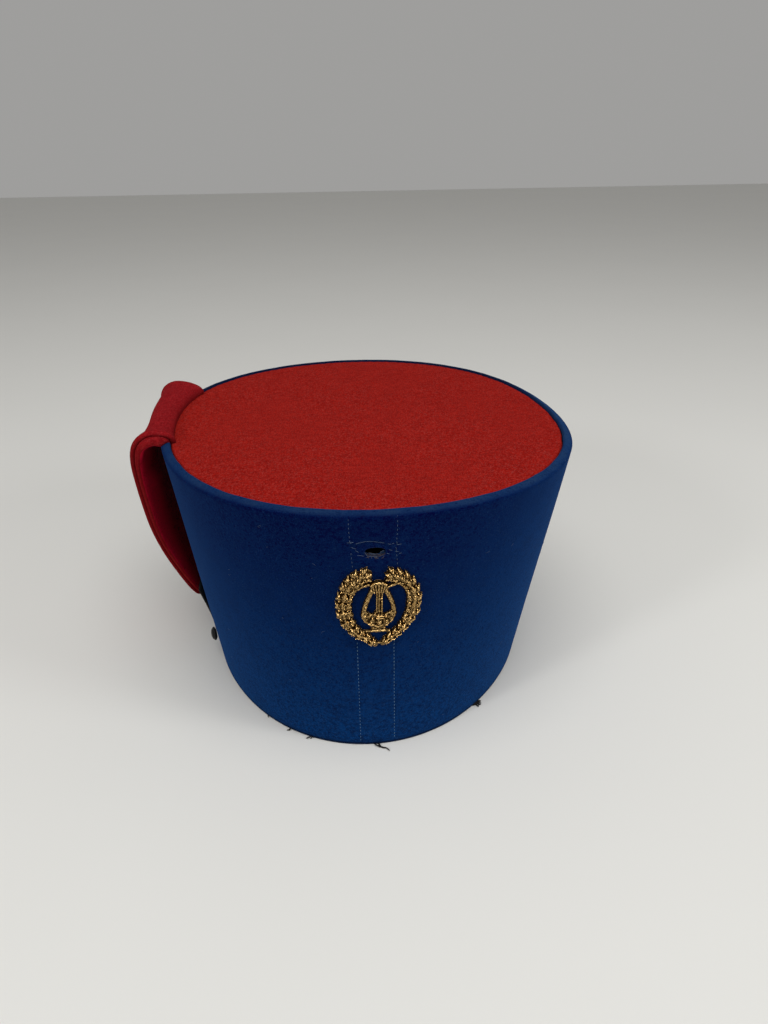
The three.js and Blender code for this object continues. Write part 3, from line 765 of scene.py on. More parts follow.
def bag_marks(down, section):
    """Painted shade from the seam and along the near hem; painted light on the inner face; painted shade
    across it.
    """
    over, inset, offset = section.T
    inner_face = offset > INNER_OFFSET
    # Painted shade: from the seam, along the turned near hem, and most in the crease.
    sewn_shade = np.exp(-((down / SEWN_SHADE_REACH) ** 2))[:, None]
    hem = (HEM_SHADE * smooth_step(down, *HEM_SHADE_RANGE))[:, None]
    turned = (over == 0) * (1 + CREASE_SHADE * (inset == CREASE))
    start, end = (np.interp(down, HOLLOW["down"], HOLLOW[side])[:, None] for side in ("start", "end"))
    return {
        "sewn_shade": np.maximum(sewn_shade, hem * turned),
        # Painted light over the whole inner face.
        "lining": np.full((len(down), 1), LINING_PAINTED_LIGHT) * inner_face,
        "hollow": smooth_step(over, start, end) * inner_face,
    }


bag = put_piece("bag_cloth", bag_loops, closed_strip(bag_loops), felts["bag_felt"], "red_felt", "side_bag",
                bag_marks(bag_down, bag_section))

# %% [markdown]
# ## The tape
# A short black tape holds the bag's tip to the wall. It is the same hung cloth with its own short table,
# thinner and of even width. Its ribs are too fine for a mesh, so a wave in the material makes them, in
# colour and bump.

# %% Tape
TAB_ROWS = np.array([
    [35.0, 4.3, 0.0, 0.0, 188.6, 176.0],
    [28.0, 3.0, 0.0, 0.0, 188.6, 176.0],
    [20.0, 1.7, 0.0, 0.0, 188.6, 176.0],
    [12.0, 1.0, 0.0, 0.0, 188.6, 176.0],
])
TAB_THICKNESS, TAB_LOOPS = 1.0, 50
RIB_SCALE, RIB_STRENGTH, RIB_DEPTH = 420.0, 0.6, 0.2
TAPE_DARK, TAPE_PALE = (0.003, 0.003, 0.003, 1), (0.016, 0.015, 0.014, 1)

black_tape, tree, shader = new_material("black_tape", Roughness=0.85, Specular_IOR_Level=0.25)
place = own_place(tree)
wave = add_node(tree, "TexWave", {"bands_direction": "Z"}, Vector=place, Scale=RIB_SCALE, Distortion=0.6)
ribs = wave.outputs["Fac"]
ribbed = bumps(tree, ribs, RIB_STRENGTH, RIB_DEPTH)
feed(shader, Base_Color=blend(tree, ribs, TAPE_DARK, TAPE_PALE), Normal=ribbed)
loops = cloth_loops(TAB_ROWS, TAB_THICKNESS, np.linspace(0, 1, TAB_LOOPS), turned_section(20, 5))
tab = put_piece("tab_tape", loops, closed_strip(loops), black_tape, "black_tape", "bag_tab")

# %% [markdown]
# ## The button
# A small black button sits beside the tape. Like a turned button it is a profile spun about its axis, which
# points out of the wall, with a short shank that keeps it off the felt. Worn gloss is a matter of
# roughness: a fine noise makes some places duller.

# %% Button
BUTTON = {"angle": math.radians(197.5), "z": 14.5, "radius": 3.8, "rim": 1.4, "dome": 1.1}
SHANK = {"radius": 2.6, "height": 0.4}
BUTTON_COLUMNS, BUTTON_STEPS, BUTTON_POLE = 48, 9, 0.02
BUTTON_DARK, BUTTON_PALE = (0.003, 0.003, 0.0035, 1), (0.012, 0.012, 0.013, 1)
SMEAR_SCALE, SMEAR_ROUGHNESS, GLOSS_ROUGHNESS = 900.0, 0.3, 0.16


def button_rings(turn):
    """A turned profile: shank, flat back, rounded rim and low dome, set square to the wall line in plan."""
    half = BUTTON["rim"] / 2
    flat = BUTTON["radius"] - half
    crown = SHANK["height"] + BUTTON["rim"]
    swing = np.linspace(-math.pi / 2, math.pi / 2, BUTTON_STEPS)
    rim = np.stack([flat + half * np.cos(swing), SHANK["height"] + half + half * np.sin(swing)], axis=-1)
    bow = np.linspace(0, math.pi / 2, BUTTON_STEPS)[1:-1]
    dome = np.stack([flat * np.cos(bow), crown + BUTTON["dome"] * np.sin(bow)], axis=-1)
    shank = np.array([[BUTTON_POLE, 0], [SHANK["radius"], 0], [SHANK["radius"], SHANK["height"]]])
    profile = np.concatenate([shank, rim, dome, [[BUTTON_POLE, crown + BUTTON["dome"]]]])
    radius, rise = profile[:, :1], profile[:, 1:]
    seat = wall_radius(BUTTON["angle"], BUTTON["z"]) + 2 * SEWN_GAP
    out = np.array([math.cos(BUTTON["angle"]), math.sin(BUTTON["angle"]), 0])
    side = np.array([-out[1], out[0], 0])
    spun = (radius * np.cos(turn))[..., None] * side + (radius * np.sin(turn))[..., None] * [0, 0, 1]
    return spun + (seat + rise)[..., None] * out + [0, 0, BUTTON["z"]]


black_gloss, tree, shader = new_material("black_gloss", Specular_IOR_Level=0.12, Coat_Weight=0.05)
smears = noise(tree, SMEAR_SCALE, 4.0)
dulled = sums(tree, "ADD", sums(tree, "MULTIPLY", smears, SMEAR_ROUGHNESS), GLOSS_ROUGHNESS)
feed(shader, Base_Color=blend(tree, smears, BUTTON_DARK, BUTTON_PALE), Roughness=dulled)
rings = button_rings(np.linspace(0, 2 * math.pi, BUTTON_COLUMNS + 1)[:-1])
put_piece("button_black", rings, closed_rings(rings), black_gloss, "black_gloss", "side_button")

# %% [markdown]
# ## The badge
# A badge of this kind is struck from sheet brass between dies and then pierced, so no part of it overhangs:
# it is a height over a flat drawing. That is exactly a function of two parameters. Each leaf and each
# moulding of the lyre gives two values at every point of the drawing: its cover, which is the distance
# inside its edge, and its height. The greatest of each wins. Cells with no cover are left out, the points
# on the border are pulled onto the edge, and the whole drawing is then bent to the wall.

# %% Drawing tools of the badge
BADGE = {"across": 1.6, "z": 82.6, "gap": 0.3, "stretch": 1.11}
DRAWING_STEP = 0.155
x_line = np.arange(-20.6, 21.2, DRAWING_STEP)
y_line = np.arange(-19.8, 20.2, DRAWING_STEP / BADGE["stretch"])
LEAF = {"height": 1.9, "root": 0.30, "end": 0.12, "peak": 1.4, "fullness": 0.7, "edge": 0.2}
MIDRIB, VEINS = {"height": 0.30, "width": 0.18}, {"height": 0.26, "count": 4.5, "slant": 1.1}
MOULDING_EDGE, MOULDING_STEPS = 0.35, 6
KNOB_RING = {"depth": 0.25, "at": 0.55, "width": 0.13}


def leaf(x, y, root, heading, kind, size, lift):
    """A leaf's width swells as a sine along it, less its lobes; its back is domed, with midrib and veins."""
    u, v = math.cos(heading), math.sin(heading)
    length, width = size * kind["length"], size * kind["width"]
    along = ((x - root[0]) * u + (y - root[1]) * v) / length
    aside = (y - root[1]) * u - (x - root[0]) * v
    t = np.clip(along, 0, 1)
    lobes = 1 - kind["lobe_depth"] * (1 + np.cos(2 * np.pi * kind["lobes"] * t)) / 2
    half = LEAF["end"] + width / 2 * np.sin(np.pi * t) * lobes
    cover = np.minimum(half - np.abs(aside), length * np.minimum(along, 1 - along) + LEAF["end"])
    edge = np.clip(np.abs(aside) / half, 0, 1)
    back = LEAF["root"] + (1 - LEAF["root"]) * np.sin(np.pi * t ** LEAF["peak"]) ** LEAF["fullness"]
    dome = LEAF["edge"] + (1 - LEAF["edge"]) * (1 - edge * edge)
    midrib = MIDRIB["height"] * np.exp(-((aside / MIDRIB["width"]) ** 2))
    slant = VEINS["count"] * t - np.abs(aside) / VEINS["slant"]
    veins = VEINS["height"] * np.cos(2 * np.pi * slant) * edge * (1 - edge) * 4
    return cover, lift + LEAF["height"] * back * dome + midrib + veins


def run_distance(x, y, path):
    """Distance to the nearest of a path's straight steps."""
    nearest = np.full(np.shape(x), np.inf)
    for (ax, ay), (bx, by) in zip(path[:-1], path[1:]):
        ux, uy = bx - ax, by - ay
        t = np.clip(((x - ax) * ux + (y - ay) * uy) / (ux * ux + uy * uy), 0, 1)
        nearest = np.minimum(nearest, np.hypot(x - ax - t * ux, y - ay - t * uy))
    return nearest


def moulding(x, y, path, width, height):
    """A run of metal with a round back: height times the root of one less its squared share of half width."""
    steps = np.linspace(0, 1, MOULDING_STEPS * len(path)) if len(path) > 2 else np.array([0.0, 1.0])
    distance = run_distance(x, y, smooth_course(np.array(path, dtype=float), steps))
    share = np.clip(distance / (width / 2), 0, 1)
    rounded = MOULDING_EDGE + (1 - MOULDING_EDGE) * np.sqrt(1 - share * share)
    return width / 2 - distance, height * rounded


def knob(x, y, place, radius, height):
    """A round boss with a ring pressed into it."""
    distance = np.hypot(x - place[0], y - place[1])
    share = np.clip(distance / radius, 0, 1)
    ring = KNOB_RING["depth"] * np.exp(-(((share - KNOB_RING["at"]) / KNOB_RING["width"]) ** 2))
    return radius - distance, height * np.sqrt(1 - share**2) - ring


# %% [markdown]
# ## Wreath and lyre
# The wreath is an oak branch on the left and a laurel branch on the right. Leaves could be placed one by
# one, but a branch grows by rule: at each station a stem, three leaves and two berries. The lyre is drawn
# as a die cutter would, with a table of mouldings, a table of bosses, a fluted capital and a bowl.

# %% Wreath
OAK = {
    "path": [(-2.0, -17.4), (-4.0, -15.3), (-6.1, -13.7), (-8.8, -12.2), (-11.7, -9.4), (-14.0, -5.6),
             (-14.8, -1.5), (-14.9, 2.2), (-13.9, 6.5), (-12.5, 9.6), (-10.6, 12.3), (-7.8, 14.7),
             (-4.8, 15.7)],
    "stations": 12, "length": 6.0, "width": 4.2, "lobes": 2.5, "lobe_depth": 0.34, "spread": 34,
}
LAUREL = {
    "path": [(1.6, -17.0), (3.8, -14.8), (6.6, -12.9), (9.9, -9.9), (12.5, -6.3), (14.2, -3.0), (14.9, 0.8),
             (15.1, 5.0), (13.7, 9.4), (11.4, 12.2), (8.3, 14.4), (5.2, 15.4)],
    "stations": 13, "length": 6.2, "width": 2.7, "lobes": 0.0, "lobe_depth": 0.0, "spread": 32,
}
BRANCH_SIZE = {"share": [0, 0.25, 0.4, 0.8, 1.0], "size": [0.55, 0.8, 1.0, 1.0, 0.85]}
STEM = {"width": 5.2, "height": 0.7}
TOP_LEAF_LIFT = 0.5
BERRIES = {"radius": 0.75, "height": 2.5, "aside": 1.9, "ahead": 0.35}


def branch(x, y, kind):
    """At each station along a curve: a flat stem, three leaves with the middle one raised, two berries."""
    shares = np.arange(kind["stations"] + 1) / kind["stations"]
    places = smooth_course(np.array(kind["path"]), shares)
    sizes = np.interp(shares, BRANCH_SIZE["share"], BRANCH_SIZE["size"])
    parts = []
    for root, after, size in zip(places[:-1], places[1:], sizes):
        ahead = after - root
        heading = math.atan2(ahead[1], ahead[0])
        stem = size * STEM["width"] / 2 - run_distance(x, y, [root, after])
        parts.append((stem, np.full_like(x, STEM["height"])))
        for turn, lift in ((kind["spread"], 0), (-kind["spread"], 0), (0, TOP_LEAF_LIFT)):
            parts.append(leaf(x, y, root, heading + math.radians(turn), kind, size, lift))
        aside = np.array([-ahead[1], ahead[0]]) / np.hypot(*ahead) * BERRIES["aside"] * size
        for sign in (-1, 1):
            place = root + BERRIES["ahead"] * ahead + sign * aside
            parts.append(knob(x, y, place, size * BERRIES["radius"], BERRIES["height"]))
    return parts


# %% Lyre
# Columns: width, height and path of each run.
LYRE_RUNS = [
    (2.2, 1.7, [(-2.7, 8.8), (-3.9, 6.0), (-5.2, 3.0), (-6.0, 0.2), (-6.4, -2.6)]),
    (2.2, 1.7, [(3.0, 8.6), (4.5, 5.6), (5.6, 2.8), (6.2, 0.0), (6.4, -2.6)]),
    (1.4, 1.4, [(-10.0, 8.0), (-7.8, 9.9), (-5.5, 11.0), (-2.8, 11.2)]),
    (1.4, 1.4, [(3.2, 9.8), (6.0, 10.9), (9.2, 11.6)]),
    (2.9, 0.9, [(0.4, 8.6), (0.05, -3.4)]),
    (0.6, 1.25, [(-0.75, 8.4), (-1.1, -3.0)]),
    (0.6, 1.15, [(0.4, 8.4), (0.05, -3.0)]),
    (0.7, 1.7, [(1.55, 8.4), (1.25, -3.0)]),
    (0.8, 2.3, [(-0.8, -3.2), (1.9, -3.2)]),
    (0.8, 2.1, [(-1.0, -4.2), (1.9, -4.2)]),
    (1.6, 1.4, [(-2.6, -9.3), (2.2, -9.3)]),
    (0.9, 2.1, [(-3.4, -10.1), (2.6, -10.1)]),
    (1.2, 0.9, [(-5.4, -11.0), (4.4, -11.1)]),
    (0.9, 1.0, [(-2.0, -16.9), (1.6, -16.9)]),
]
# Columns: place, radius and height of each boss.
LYRE_KNOBS = [
    ((-6.1, -3.2), 1.7, 2.3),
    ((6.0, -2.6), 1.7, 2.3),
    ((-5.6, 1.2), 1.1, 2.2),
    ((-2.7, -4.1), 0.8, 2.4),
    ((2.9, -3.4), 0.8, 2.4),
    ((-1.6, -2.0), 0.7, 2.1),
    ((-3.2, -6.4), 1.2, 2.1),
    ((3.4, -6.0), 1.2, 2.1),
    ((0.1, -6.8), 1.4, 2.3),
]
BOWL = {"middle": (-0.2, -2.6), "half": (7.5, 6.3), "lip": -2.5, "horn": 0.13, "horn_start": 2, "height": 1.2}
BOWL_RIM, GADROONS = {"inset": 0.8, "width": 0.5, "height": 0.7}, {"count": 16, "height": 0.3, "rise": 3}
CAPITAL = {"foot": 7.6, "crown": 11.3, "crest": 13.1, "foot_half": 2.4, "crown_half": 3.9, "middle": 0.1}
FLUTES = {"count": 6, "base": 1.2, "height": 0.8, "edge": 0.4, "plain": (0.9, 1.4), "widest": 1.3}


def bowl(x, y):
    """The lower half of an ellipse under a lip that turns up at the horns, with a raised rim and gadroons."""
    (mx, my), (half_x, half_y) = BOWL["middle"], BOWL["half"]
    reach = np.hypot((x - mx) / half_x, (y - my) / half_y)
    lip = BOWL["lip"] + BOWL["horn"] * np.clip(np.abs(x - mx) - BOWL["horn_start"], 0, None) ** 2
    inside = (1 - reach) * half_y
    rim = BOWL_RIM["height"] * np.exp(-(((inside - BOWL_RIM["inset"]) / BOWL_RIM["width"]) ** 2))
    swing = np.arctan2(x - mx, my + GADROONS["rise"] - y)
    gadroons = GADROONS["height"] * np.cos(GADROONS["count"] * swing)
    return np.minimum(inside, lip - y), BOWL["height"] + rim + gadroons


def capital(x, y):
    """A fan between its foot and a bowed crest, with flutes that widen as it does, under a plain rim."""
    c = CAPITAL
    rise = (y - c["foot"]) / (c["crown"] - c["foot"])
    half = c["foot_half"] + (c["crown_half"] - c["foot_half"]) * np.clip(rise, 0, FLUTES["widest"])
    share = (x - c["middle"]) / half
    crest = c["crest"] - (c["crest"] - c["crown"]) * share * share
    cover = np.minimum(np.minimum(half - np.abs(x - c["middle"]), y - c["foot"]), crest - y)
    flutes = np.sqrt(np.abs(np.cos(np.pi * FLUTES["count"] / 2 * np.clip(share, -1, 1))))
    plain = 1 - smooth_step(crest - y, *FLUTES["plain"])
    raised = FLUTES["height"] * np.maximum(flutes, plain) * np.clip(cover / FLUTES["edge"], 0, 1)
    return cover, FLUTES["base"] + raised


def lyre(x, y):
    """Arms, strings, links and stems as mouldings, bosses at the scrolls, the fluted capital and the bowl."""
    parts = [moulding(x, y, path, width, height) for width, height, path in LYRE_RUNS]
    parts += [knob(x, y, place, radius, height) for place, radius, height in LYRE_KNOBS]
    return parts + [capital(x, y), bowl(x, y)]


# %% [markdown]
# ## Striking the badge
# The drawing becomes metal here. Seeded noise gives the fine grain and the chasing of a hand-cut die. A
# grid has stepped borders, so the border points slide along the slope of the cover to the true edge, and
# side faces close the sheet down to its flat back.

# %% Struck surface
GRAIN, CHASING = {"by": 0.04, "seed": 5, "passes": 1}, {"by": 0.13, "seed": 6, "passes": 6}
EDGE_ROUND, LEAST_HEIGHT = 0.35, 0.55
PULL_REACH, PULL_LIMIT, KEEP_REACH = 1.5 * DRAWING_STEP, 0.8 * DRAWING_STEP, 1.2 * DRAWING_STEP
LEAST_SLOPE = 0.2


def neighbour_mean(field):
    """The mean of each point and its four neighbours."""
    beside = [np.roll(field, step, axis) for axis in (0, 1) for step in (1, -1)]
    return sum(beside, field) / 5


def soft_noise(shape, seed, passes):
    """Seeded noise, averaged with its neighbours a few times and brought back to unit spread."""
    field = np.random.default_rng(seed).normal(size=shape)
    for _ in range(passes):
        field = neighbour_mean(field)
    return field / field.std()


def struck_badge(x, y):
    """The greatest cover and the greatest height of all the badge's parts, with edges rounded by cover."""
    parts = branch(x, y, OAK) + branch(x, y, LAUREL) + lyre(x, y)
    cover = np.max([part[0] for part in parts], axis=0)
    height = np.max([np.where(part[0] > 0, part[1], 0) for part in parts], axis=0)
    rounded = np.sqrt(np.clip(cover / EDGE_ROUND, 0, 1))
    return cover, LEAST_HEIGHT + np.clip(height - LEAST_HEIGHT, 0, None) * rounded


def pulled_to_edge(x, y, cover):
    """Moves points just outside the metal along the slope of the cover, to where it is nought."""
    slope_y, slope_x = np.gradient(cover, y_line, x_line)
    steep = np.maximum(slope_x**2 + slope_y**2, LEAST_SLOPE)
    shift = np.where((cover < 0) & (cover > -PULL_REACH), -cover, 0) / steep
    move_x, move_y = (np.clip(shift * slope, -PULL_LIMIT, PULL_LIMIT) for slope in (slope_x, slope_y))
    return x + move_x, y + move_y


def edge_walls(kept, columns, back):
    """Side faces below each cell edge that has a kept cell on one side only."""
    padded = np.pad(kept, 1)
    number = np.arange((kept.shape[0] + 1) * columns).reshape(-1, columns)
    walls = []
    for row_step, column_step in ((0, 1), (1, 0)):
        first = padded[1 - row_step : padded.shape[0] - 1, 1 - column_step : padded.shape[1] - 1]
        second = padded[1 : padded.shape[0] - 1 + row_step, 1 : padded.shape[1] - 1 + column_step]
        for sign, border in ((1, first & ~second), (-1, second & ~first)):
            r, c = np.nonzero(border)
            start = number[r, c]
            end = number[r + column_step, c + row_step]
            pair = (start, end) if sign * (1 if column_step else -1) > 0 else (end, start)
            walls.append(np.stack([pair[0], pair[1], pair[1] + back, pair[0] + back], axis=-1))
    return np.concatenate(walls)


# %% Badge surface
HOLLOW_PASSES, HOLLOW_GAIN, HOLLOW_MIDDLE = 14, 1.1, 0.5
x, y = np.meshgrid(x_line, y_line)
cover, height = struck_badge(x, y)
corner_covers = np.stack([cover[:-1, :-1], cover[:-1, 1:], cover[1:, 1:], cover[1:, :-1]])
kept = (corner_covers.max(0) > 0) & (corner_covers.min(0) > -KEEP_REACH)
x, y = pulled_to_edge(x, y, cover)
cover, height = struck_badge(x, y)
tooling = [kind["by"] * soft_noise(height.shape, kind["seed"], kind["passes"]) for kind in (GRAIN, CHASING)]
height = height + sum(tooling) * np.clip(cover / EDGE_ROUND, 0, 1)
broad = height
for _ in range(HOLLOW_PASSES):
    broad = neighbour_mean(broad)
hollow = np.clip(HOLLOW_MIDDLE + (broad - height) * HOLLOW_GAIN, 0, 1)

across, z = BADGE["across"] + x, BADGE["z"] + y * BADGE["stretch"]
face, back = (on_wall(across, z, BADGE["gap"] + lift) for lift in (height, 0 * height))
cells = grid_quads(*x.shape)[kept.ravel()]
badge_quads = np.concatenate([cells, cells[:, ::-1] + x.size, edge_walls(kept, x.shape[1], x.size)])
used, badge_quads = np.unique(badge_quads, return_inverse=True)
badge_points = np.concatenate([face.reshape(-1, 3), back.reshape(-1, 3)])[used]
badge_hollow = np.concatenate([hollow.ravel(), np.full(x.size, HOLLOW_MIDDLE)])[used]
print(f"badge of {len(badge_points)} points, {height[cover > 0].max():.1f} mm high")

# %% [markdown]
# ## Gilt
# The gilding is bright on the ridges, where hands and cloth rub it, and brown in the hollows, where polish
# and dirt stay. A painted mask could say where, but the badge's own height knows it: the mark 'hollow' is
# how far a point lies below its surroundings. The hollows are also duller, so only the ridges sparkle.

# %% Gilt finish
GILT_RIDGE, GILT_HOLLOW = (0.70, 0.450, 0.175, 1), (0.024, 0.011, 0.003, 1)
TARNISH = {"scale": 1100.0, "share": 0.6, "strength": 0.9, "depth": 0.3}
DIRT_RANGE, DIRT_ROUGHNESS, RIDGE_ROUGHNESS = (0.14, 0.62), 0.35, 0.09

gilt, tree, shader = new_material("gilt", Metallic=1.0)
mark = add_node(tree, "Attribute", {"attribute_name": "hollow"}).outputs["Fac"]
tarnish = noise(tree, TARNISH["scale"], 3.0)
patchy = sums(tree, "MULTIPLY", sums(tree, "SUBTRACT", tarnish, 0.5), TARNISH["share"])
dirt = spread(tree, sums(tree, "ADD", mark, patchy), *DIRT_RANGE)
feed(
    shader,
    Base_Color=blend(tree, dirt, GILT_RIDGE, GILT_HOLLOW),
    Roughness=sums(tree, "ADD", sums(tree, "MULTIPLY", dirt, DIRT_ROUGHNESS), RIDGE_ROUGHNESS),
    Normal=bumps(tree, tarnish, TARNISH["strength"], TARNISH["depth"]),
)
marks = {"hollow": badge_hollow}
put_piece("badge_gilt", badge_points, badge_quads.reshape(-1, 4), gilt, "gilt", "badge", marks)

# %% [markdown]
# ## Threads
# Stitches, loose ends, fray and lint are all short threads. A curve object for each would be slow to
# handle, so one function makes a ring of six points at every step of every path, for hundreds of paths at
# once.

# %% Thread tubes
THREAD_SIDES, END_POWER, END_LEAST = 6, 8, 0.06
THREAD_REFERENCE = np.array([0.31, 0.52, 0.79])
THREAD_CAP = np.array([[3, 2, 1, 0], [5, 4, 3, 0]])
THREAD_GRAIN = 2600.0
THREAD_SHADES = {
    "pale_thread": ((0.03, 0.085, 0.16, 1), (0.15, 0.27, 0.39, 1)),
    "dim_thread": ((0.012, 0.028, 0.070, 1), (0.070, 0.105, 0.175, 1)),
    "black_thread": ((0.002, 0.002, 0.002, 1), (0.010, 0.009, 0.008, 1)),
    "grey_fibre": ((0.030, 0.028, 0.032, 1), (0.12, 0.105, 0.105, 1)),
}


def thread_tubes(paths, radius):
    """Rings square to each path, whose radius closes towards both ends, with two faces over each end."""
    along = np.gradient(paths, axis=1)
    along = along / np.linalg.norm(along, axis=-1, keepdims=True)
    side = np.cross(along, THREAD_REFERENCE)
    side = side / np.linalg.norm(side, axis=-1, keepdims=True)
    lift = np.cross(along, side)
    count, steps = paths.shape[:2]
    share = np.linspace(-1, 1, steps)
    body = radius * np.sqrt(np.clip(1 - share**END_POWER, END_LEAST, 1))
    turn = 2 * np.pi * np.arange(THREAD_SIDES) / THREAD_SIDES
    ring = side[:, :, None] * np.cos(turn)[:, None] + lift[:, :, None] * np.sin(turn)[:, None]
    points = paths[:, :, None] + ring * body[None, :, None, None]
    last_cap = THREAD_CAP[:, ::-1] + (steps - 1) * THREAD_SIDES
    one = np.concatenate([grid_quads(steps, THREAD_SIDES, wrap_columns=True), THREAD_CAP, last_cap])
    quads = one[None] + (np.arange(count) * steps * THREAD_SIDES)[:, None, None]
    return points.reshape(-1, 3), quads.reshape(-1, 4)


def thread_material(name, dark, pale):
    """Twisted thread: a fine noise between two shades."""
    material, tree, shader = new_material(name, Roughness=0.8, Specular_IOR_Level=0.3)
    feed(shader, Base_Color=blend(tree, noise(tree, THREAD_GRAIN, 2.0), dark, pale))
    return material


def put_threads(name, paths, radius, thread, slot):
    """One piece for all the threads of a kind."""
    return put_piece(name, *thread_tubes(paths, radius), threads[thread], slot)


threads = {name: thread_material(name, *shades) for name, shades in THREAD_SHADES.items()}
print("threads:", ", ".join(threads))

# %% [markdown]
# ## Pocket stitches
# Two lines of running stitches hold a pocket behind the front. Each stitch is modelled, because a painted
# dash would lie flat. Below the badge the thread is pale, above it is dim with wear, and none is needed
# behind the badge or across the slot's eye.

# %% Pocket stitches
STITCH = {"pitch": 2.05, "length": 1.1, "radius": 0.12, "proud": 0.07, "sink": 0.22, "stagger": 0.7}
STITCH_STEPS = 6
STITCH_SPAN = (3.2, 126.2)
BADGE_SPAN, EYE_CLEARANCE = {"z": 83, "reach": 19}, 2.0


def running_stitches(side, heights):
    """Each stitch is a low arch up the wall, whose ends sink into the felt by the fourth power."""
    bow = np.linspace(-1, 1, STITCH_STEPS)
    z = heights[:, None] + bow * STITCH["length"] / 2
    lift = STITCH["proud"] - GROOVE["depth"] - STITCH["sink"] * bow**4
    angle = front_angle(stitch_line(side, z), z)
    return polar(angle, wall_radius(angle, z) + lift, z)


heights = np.arange(*STITCH_SPAN, STITCH["pitch"])
low = heights[heights < BADGE_SPAN["z"] - BADGE_SPAN["reach"]]
above = heights > BADGE_SPAN["z"] + BADGE_SPAN["reach"]
high = heights[above & (np.abs(heights - EYE["z"]) > EYE_CLEARANCE)]
for name, middles, thread in (("lower_stitches", low, "pale_thread"), ("upper_stitches", high, "dim_thread")):
    left, right = running_stitches("left", middles), running_stitches("right", middles + STITCH["stagger"])
    put_threads(name, np.concatenate([left, right]), STITCH["radius"], thread, "blue_felt")

# %% [markdown]
# ## Slot stitches
# Some worn stitches are left round the plume slot, where its edge was once sewn over. They follow no rule,
# so a short table holds their two ends, read from the photograph in millimetres on the wall.

# %% Slot stitches
# Columns: across and height of one end, then of the other.
SLOT_RUNS = np.array([
    [-7.4, 114.8, -5.6, 115.4],
    [-5.8, 115.3, -3.0, 115.9],
    [-3.2, 115.9, -0.1, 115.7],
    [-0.4, 115.7, 1.8, 115.2],
    [1.6, 115.2, 4.5, 114.8],
    [-11.0, 115.3, -8.0, 115.7],
    [-9.8, 114.8, -8.2, 115.9],
    [-9.4, 113.3, -7.1, 112.0],
    [-7.6, 111.4, -6.1, 110.4],
    [-6.9, 109.2, -3.8, 108.6],
    [5.6, 114.4, 7.0, 114.2],
    [7.2, 114.4, 8.4, 114.6],
    [9.3, 115.4, 9.5, 113.6],
    [9.2, 113.6, 11.4, 114.0],
    [6.0, 111.4, 7.6, 111.2],
    [8.6, 110.5, 10.2, 110.2],
    [5.2, 109.8, 6.4, 109.5],
    [9.0, 112.6, 9.2, 111.2],
    [10.2, 109.3, 11.4, 109.6],
    [-2.2, 109.8, 0.7, 109.5],
    [2.4, 110.2, 4.3, 111.2],
    [-3.8, 110.5, -2.6, 108.4],
    [-2.6, 108.4, 1.6, 108.4],
])
SLOT_THREAD = {"radius": 0.11, "arch": 0.12, "proud": 0.18, "sink": 0.25, "steps": 8}


def slot_threads(runs):
    """Straight runs between two places on the wall, arched a little by a sine, with ends that sink in."""
    t = np.linspace(0, 1, SLOT_THREAD["steps"])
    across = runs[:, :1] + (runs[:, 2:3] - runs[:, :1]) * t
    z = runs[:, 1:2] + (runs[:, 3:4] - runs[:, 1:2]) * t + SLOT_THREAD["arch"] * np.sin(np.pi * t)
    angle = front_angle(across, z)
    lift = wall_relief(angle, z) + SLOT_THREAD["proud"] - SLOT_THREAD["sink"] * (2 * t - 1) ** 4
    return polar(angle, wall_radius(angle, z) + lift, z)


put_threads("slot_stitches", slot_threads(SLOT_RUNS), SLOT_THREAD["radius"], "dim_thread", "blue_felt")

# %% [markdown]
# ## Fray and lint
# Fibres fray from the slot's lower lip, and a little lint clings to the wall. No one would place them
# singly: seeded chance gives each one a place, a length, a heading and a curl, the same at every run.

# %% Fray of the slot and lint
FRAY = {"count": 28, "across": (-3.0, 3.6), "z": 108.5, "length": (0.9, 1.8), "radius": 0.06, "seed": 11}
FRAY_RISE, FRAY_PROUD, FRAY_SINK = (-0.5, 1.0), 0.1, 1.2
LINT = {"count": 30, "angle": (-165, -15), "z": (6, 122), "length": (0.7, 2.6), "radius": 0.055, "seed": 15}
LINT_PROUD = 0.05
FIBRE_HEADING, FIBRE_CURL, FIBRE_STEPS, FIBRE_SEED = 0.9, 0.35, 7, 100


def fallen_fibres(across, z, length, heading, curl, proud):
    """Short strands that lie on the wall: straight by a heading, with one cosine curl aside."""
    t = np.linspace(-0.5, 0.5, FIBRE_STEPS)
    along, aside = length[:, None] * t, (curl * length)[:, None] * np.cos(np.pi * t)
    u, v = np.cos(heading)[:, None], np.sin(heading)[:, None]
    z = z[:, None] + along * v + aside * u
    angle = front_angle(across[:, None] + along * u - aside * v, z)
    return polar(angle, wall_radius(angle, z) + wall_relief(angle, z) + proud[:, None], z)


def spread_fibres(kind, across, z, proud):
    """Seeded headings, curls and lengths for a number of fibres."""
    rng = np.random.default_rng(kind["seed"] + FIBRE_SEED)
    heading = rng.uniform(-FIBRE_HEADING, FIBRE_HEADING, kind["count"])
    curl = rng.uniform(-FIBRE_CURL, FIBRE_CURL, kind["count"])
    length = rng.uniform(*kind["length"], kind["count"])
    return fallen_fibres(across, z, length, heading, curl, proud)


rng = np.random.default_rng(FRAY["seed"])
fray_across = rng.uniform(*FRAY["across"], FRAY["count"])
fray_rise = rng.uniform(*FRAY_RISE, FRAY["count"])
fray_proud = FRAY_PROUD - FRAY_SINK * np.clip(fray_rise, 0, 1)
fray = spread_fibres(FRAY, fray_across, FRAY["z"] + fray_rise, fray_proud)
put_threads("slot_fray", fray, FRAY["radius"], "grey_fibre", "blue_felt")

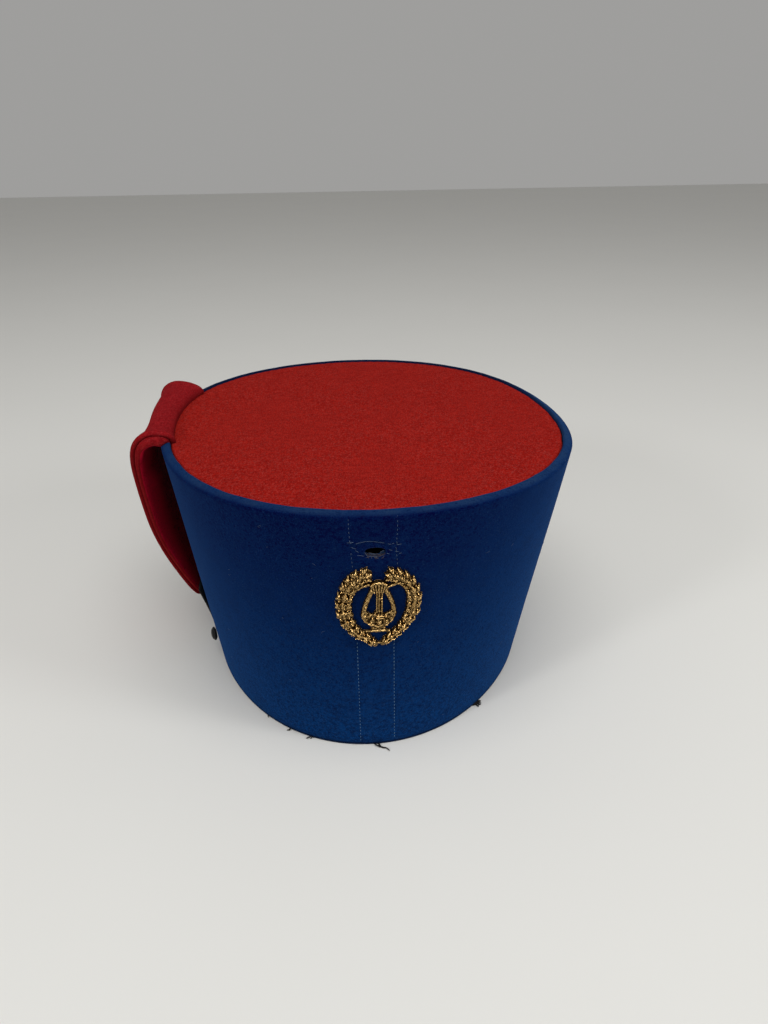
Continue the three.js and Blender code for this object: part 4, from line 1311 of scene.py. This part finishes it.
rng = np.random.default_rng(LINT["seed"])
lint_z = rng.uniform(*LINT["z"], LINT["count"])
lint_across = np.radians(rng.uniform(*LINT["angle"], LINT["count"]) + 90) * wall_radius(FRONT, lint_z)
lint = spread_fibres(LINT, lint_across, lint_z, np.full(LINT["count"], LINT_PROUD))
put_threads("wall_lint", lint, LINT["radius"], "dim_thread", "blue_felt")

# %% [markdown]
# ## Loose thread ends
# Cut black ends of thread stand out along the hem, where something was once sewn on: a few at the left,
# three longer ones in front and a small tuft at the right. Each row of the table is one strand, and a seed
# gives its curls.

# %% Loose thread ends
# Columns: plan angle, reach, drift aside, curl and seed.
HEM_ENDS = np.array([
    [-123.6, 2.4, 1.0, 0.3, 1],
    [-113.2, 2.6, -3.6, 0.3, 2],
    [-113.4, 2.2, -2.2, 0.5, 3],
    [-107.4, 2.6, -2.8, 0.3, 4],
    [-107.2, 2.0, -1.0, 0.4, 5],
    [-91.4, 4.8, 6.8, 0.5, 12],
    [-90.2, 3.4, 1.8, 0.5, 7],
    [-91.4, 6.0, 8.6, 0.5, 6],
    [-57.6, 3.2, 1.4, 0.9, 8],
    [-57.0, 3.4, -0.8, 1.0, 9],
    [-56.4, 3.0, 1.0, 0.9, 10],
    [-56.0, 2.6, -1.4, 0.8, 11],
    [-56.9, 2.6, 0.6, 1.3, 13],
    [-56.5, 2.4, -0.6, 1.4, 14],
    [-56.7, 3.2, 0.2, 1.2, 16],
])
END_RADIUS, END_STEPS, END_START, END_HUMP = 0.30, 22, -1.2, 0.9
OUT_CURL = {"share": 0.6, "turns": 1.5}
SIDE_TURNS = 1.1


def loose_end(angle_deg, reach, drift, curl, seed):
    """A strand from under the hem: it runs out and aside with a sine curl each way, and lies on the floor."""
    t = np.linspace(0, 1, END_STEPS)
    phase = np.random.default_rng(int(seed)).uniform(0, 2 * math.pi, 3)
    angle = math.radians(angle_deg)
    out = np.array([math.cos(angle), math.sin(angle), 0])
    aside = np.array([-out[1], out[0], 0])
    out_curl = np.sin(2 * math.pi * t * OUT_CURL["turns"] + phase[0]) - math.sin(phase[0])
    side_curl = np.sin(2 * math.pi * t * SIDE_TURNS + phase[1]) - math.sin(phase[1])
    far = wall_radius(angle, 0) + END_START + reach * t + curl * OUT_CURL["share"] * out_curl
    off = drift * t + curl * side_curl
    z = END_RADIUS + END_HUMP * np.abs(np.sin(math.pi * t * 2 + phase[2])) * t * (1 - t) * 2
    return far[:, None] * out + off[:, None] * aside + z[:, None] * [0, 0, 1]


hem_ends = np.array([loose_end(*row) for row in HEM_ENDS])
put_threads("hem_thread_ends", hem_ends, END_RADIUS, "black_thread", "black_tape")

# %% [markdown]
# ## The end
# Every piece has been made by the cells above.

# %% Finish


print("the cap is dressed")
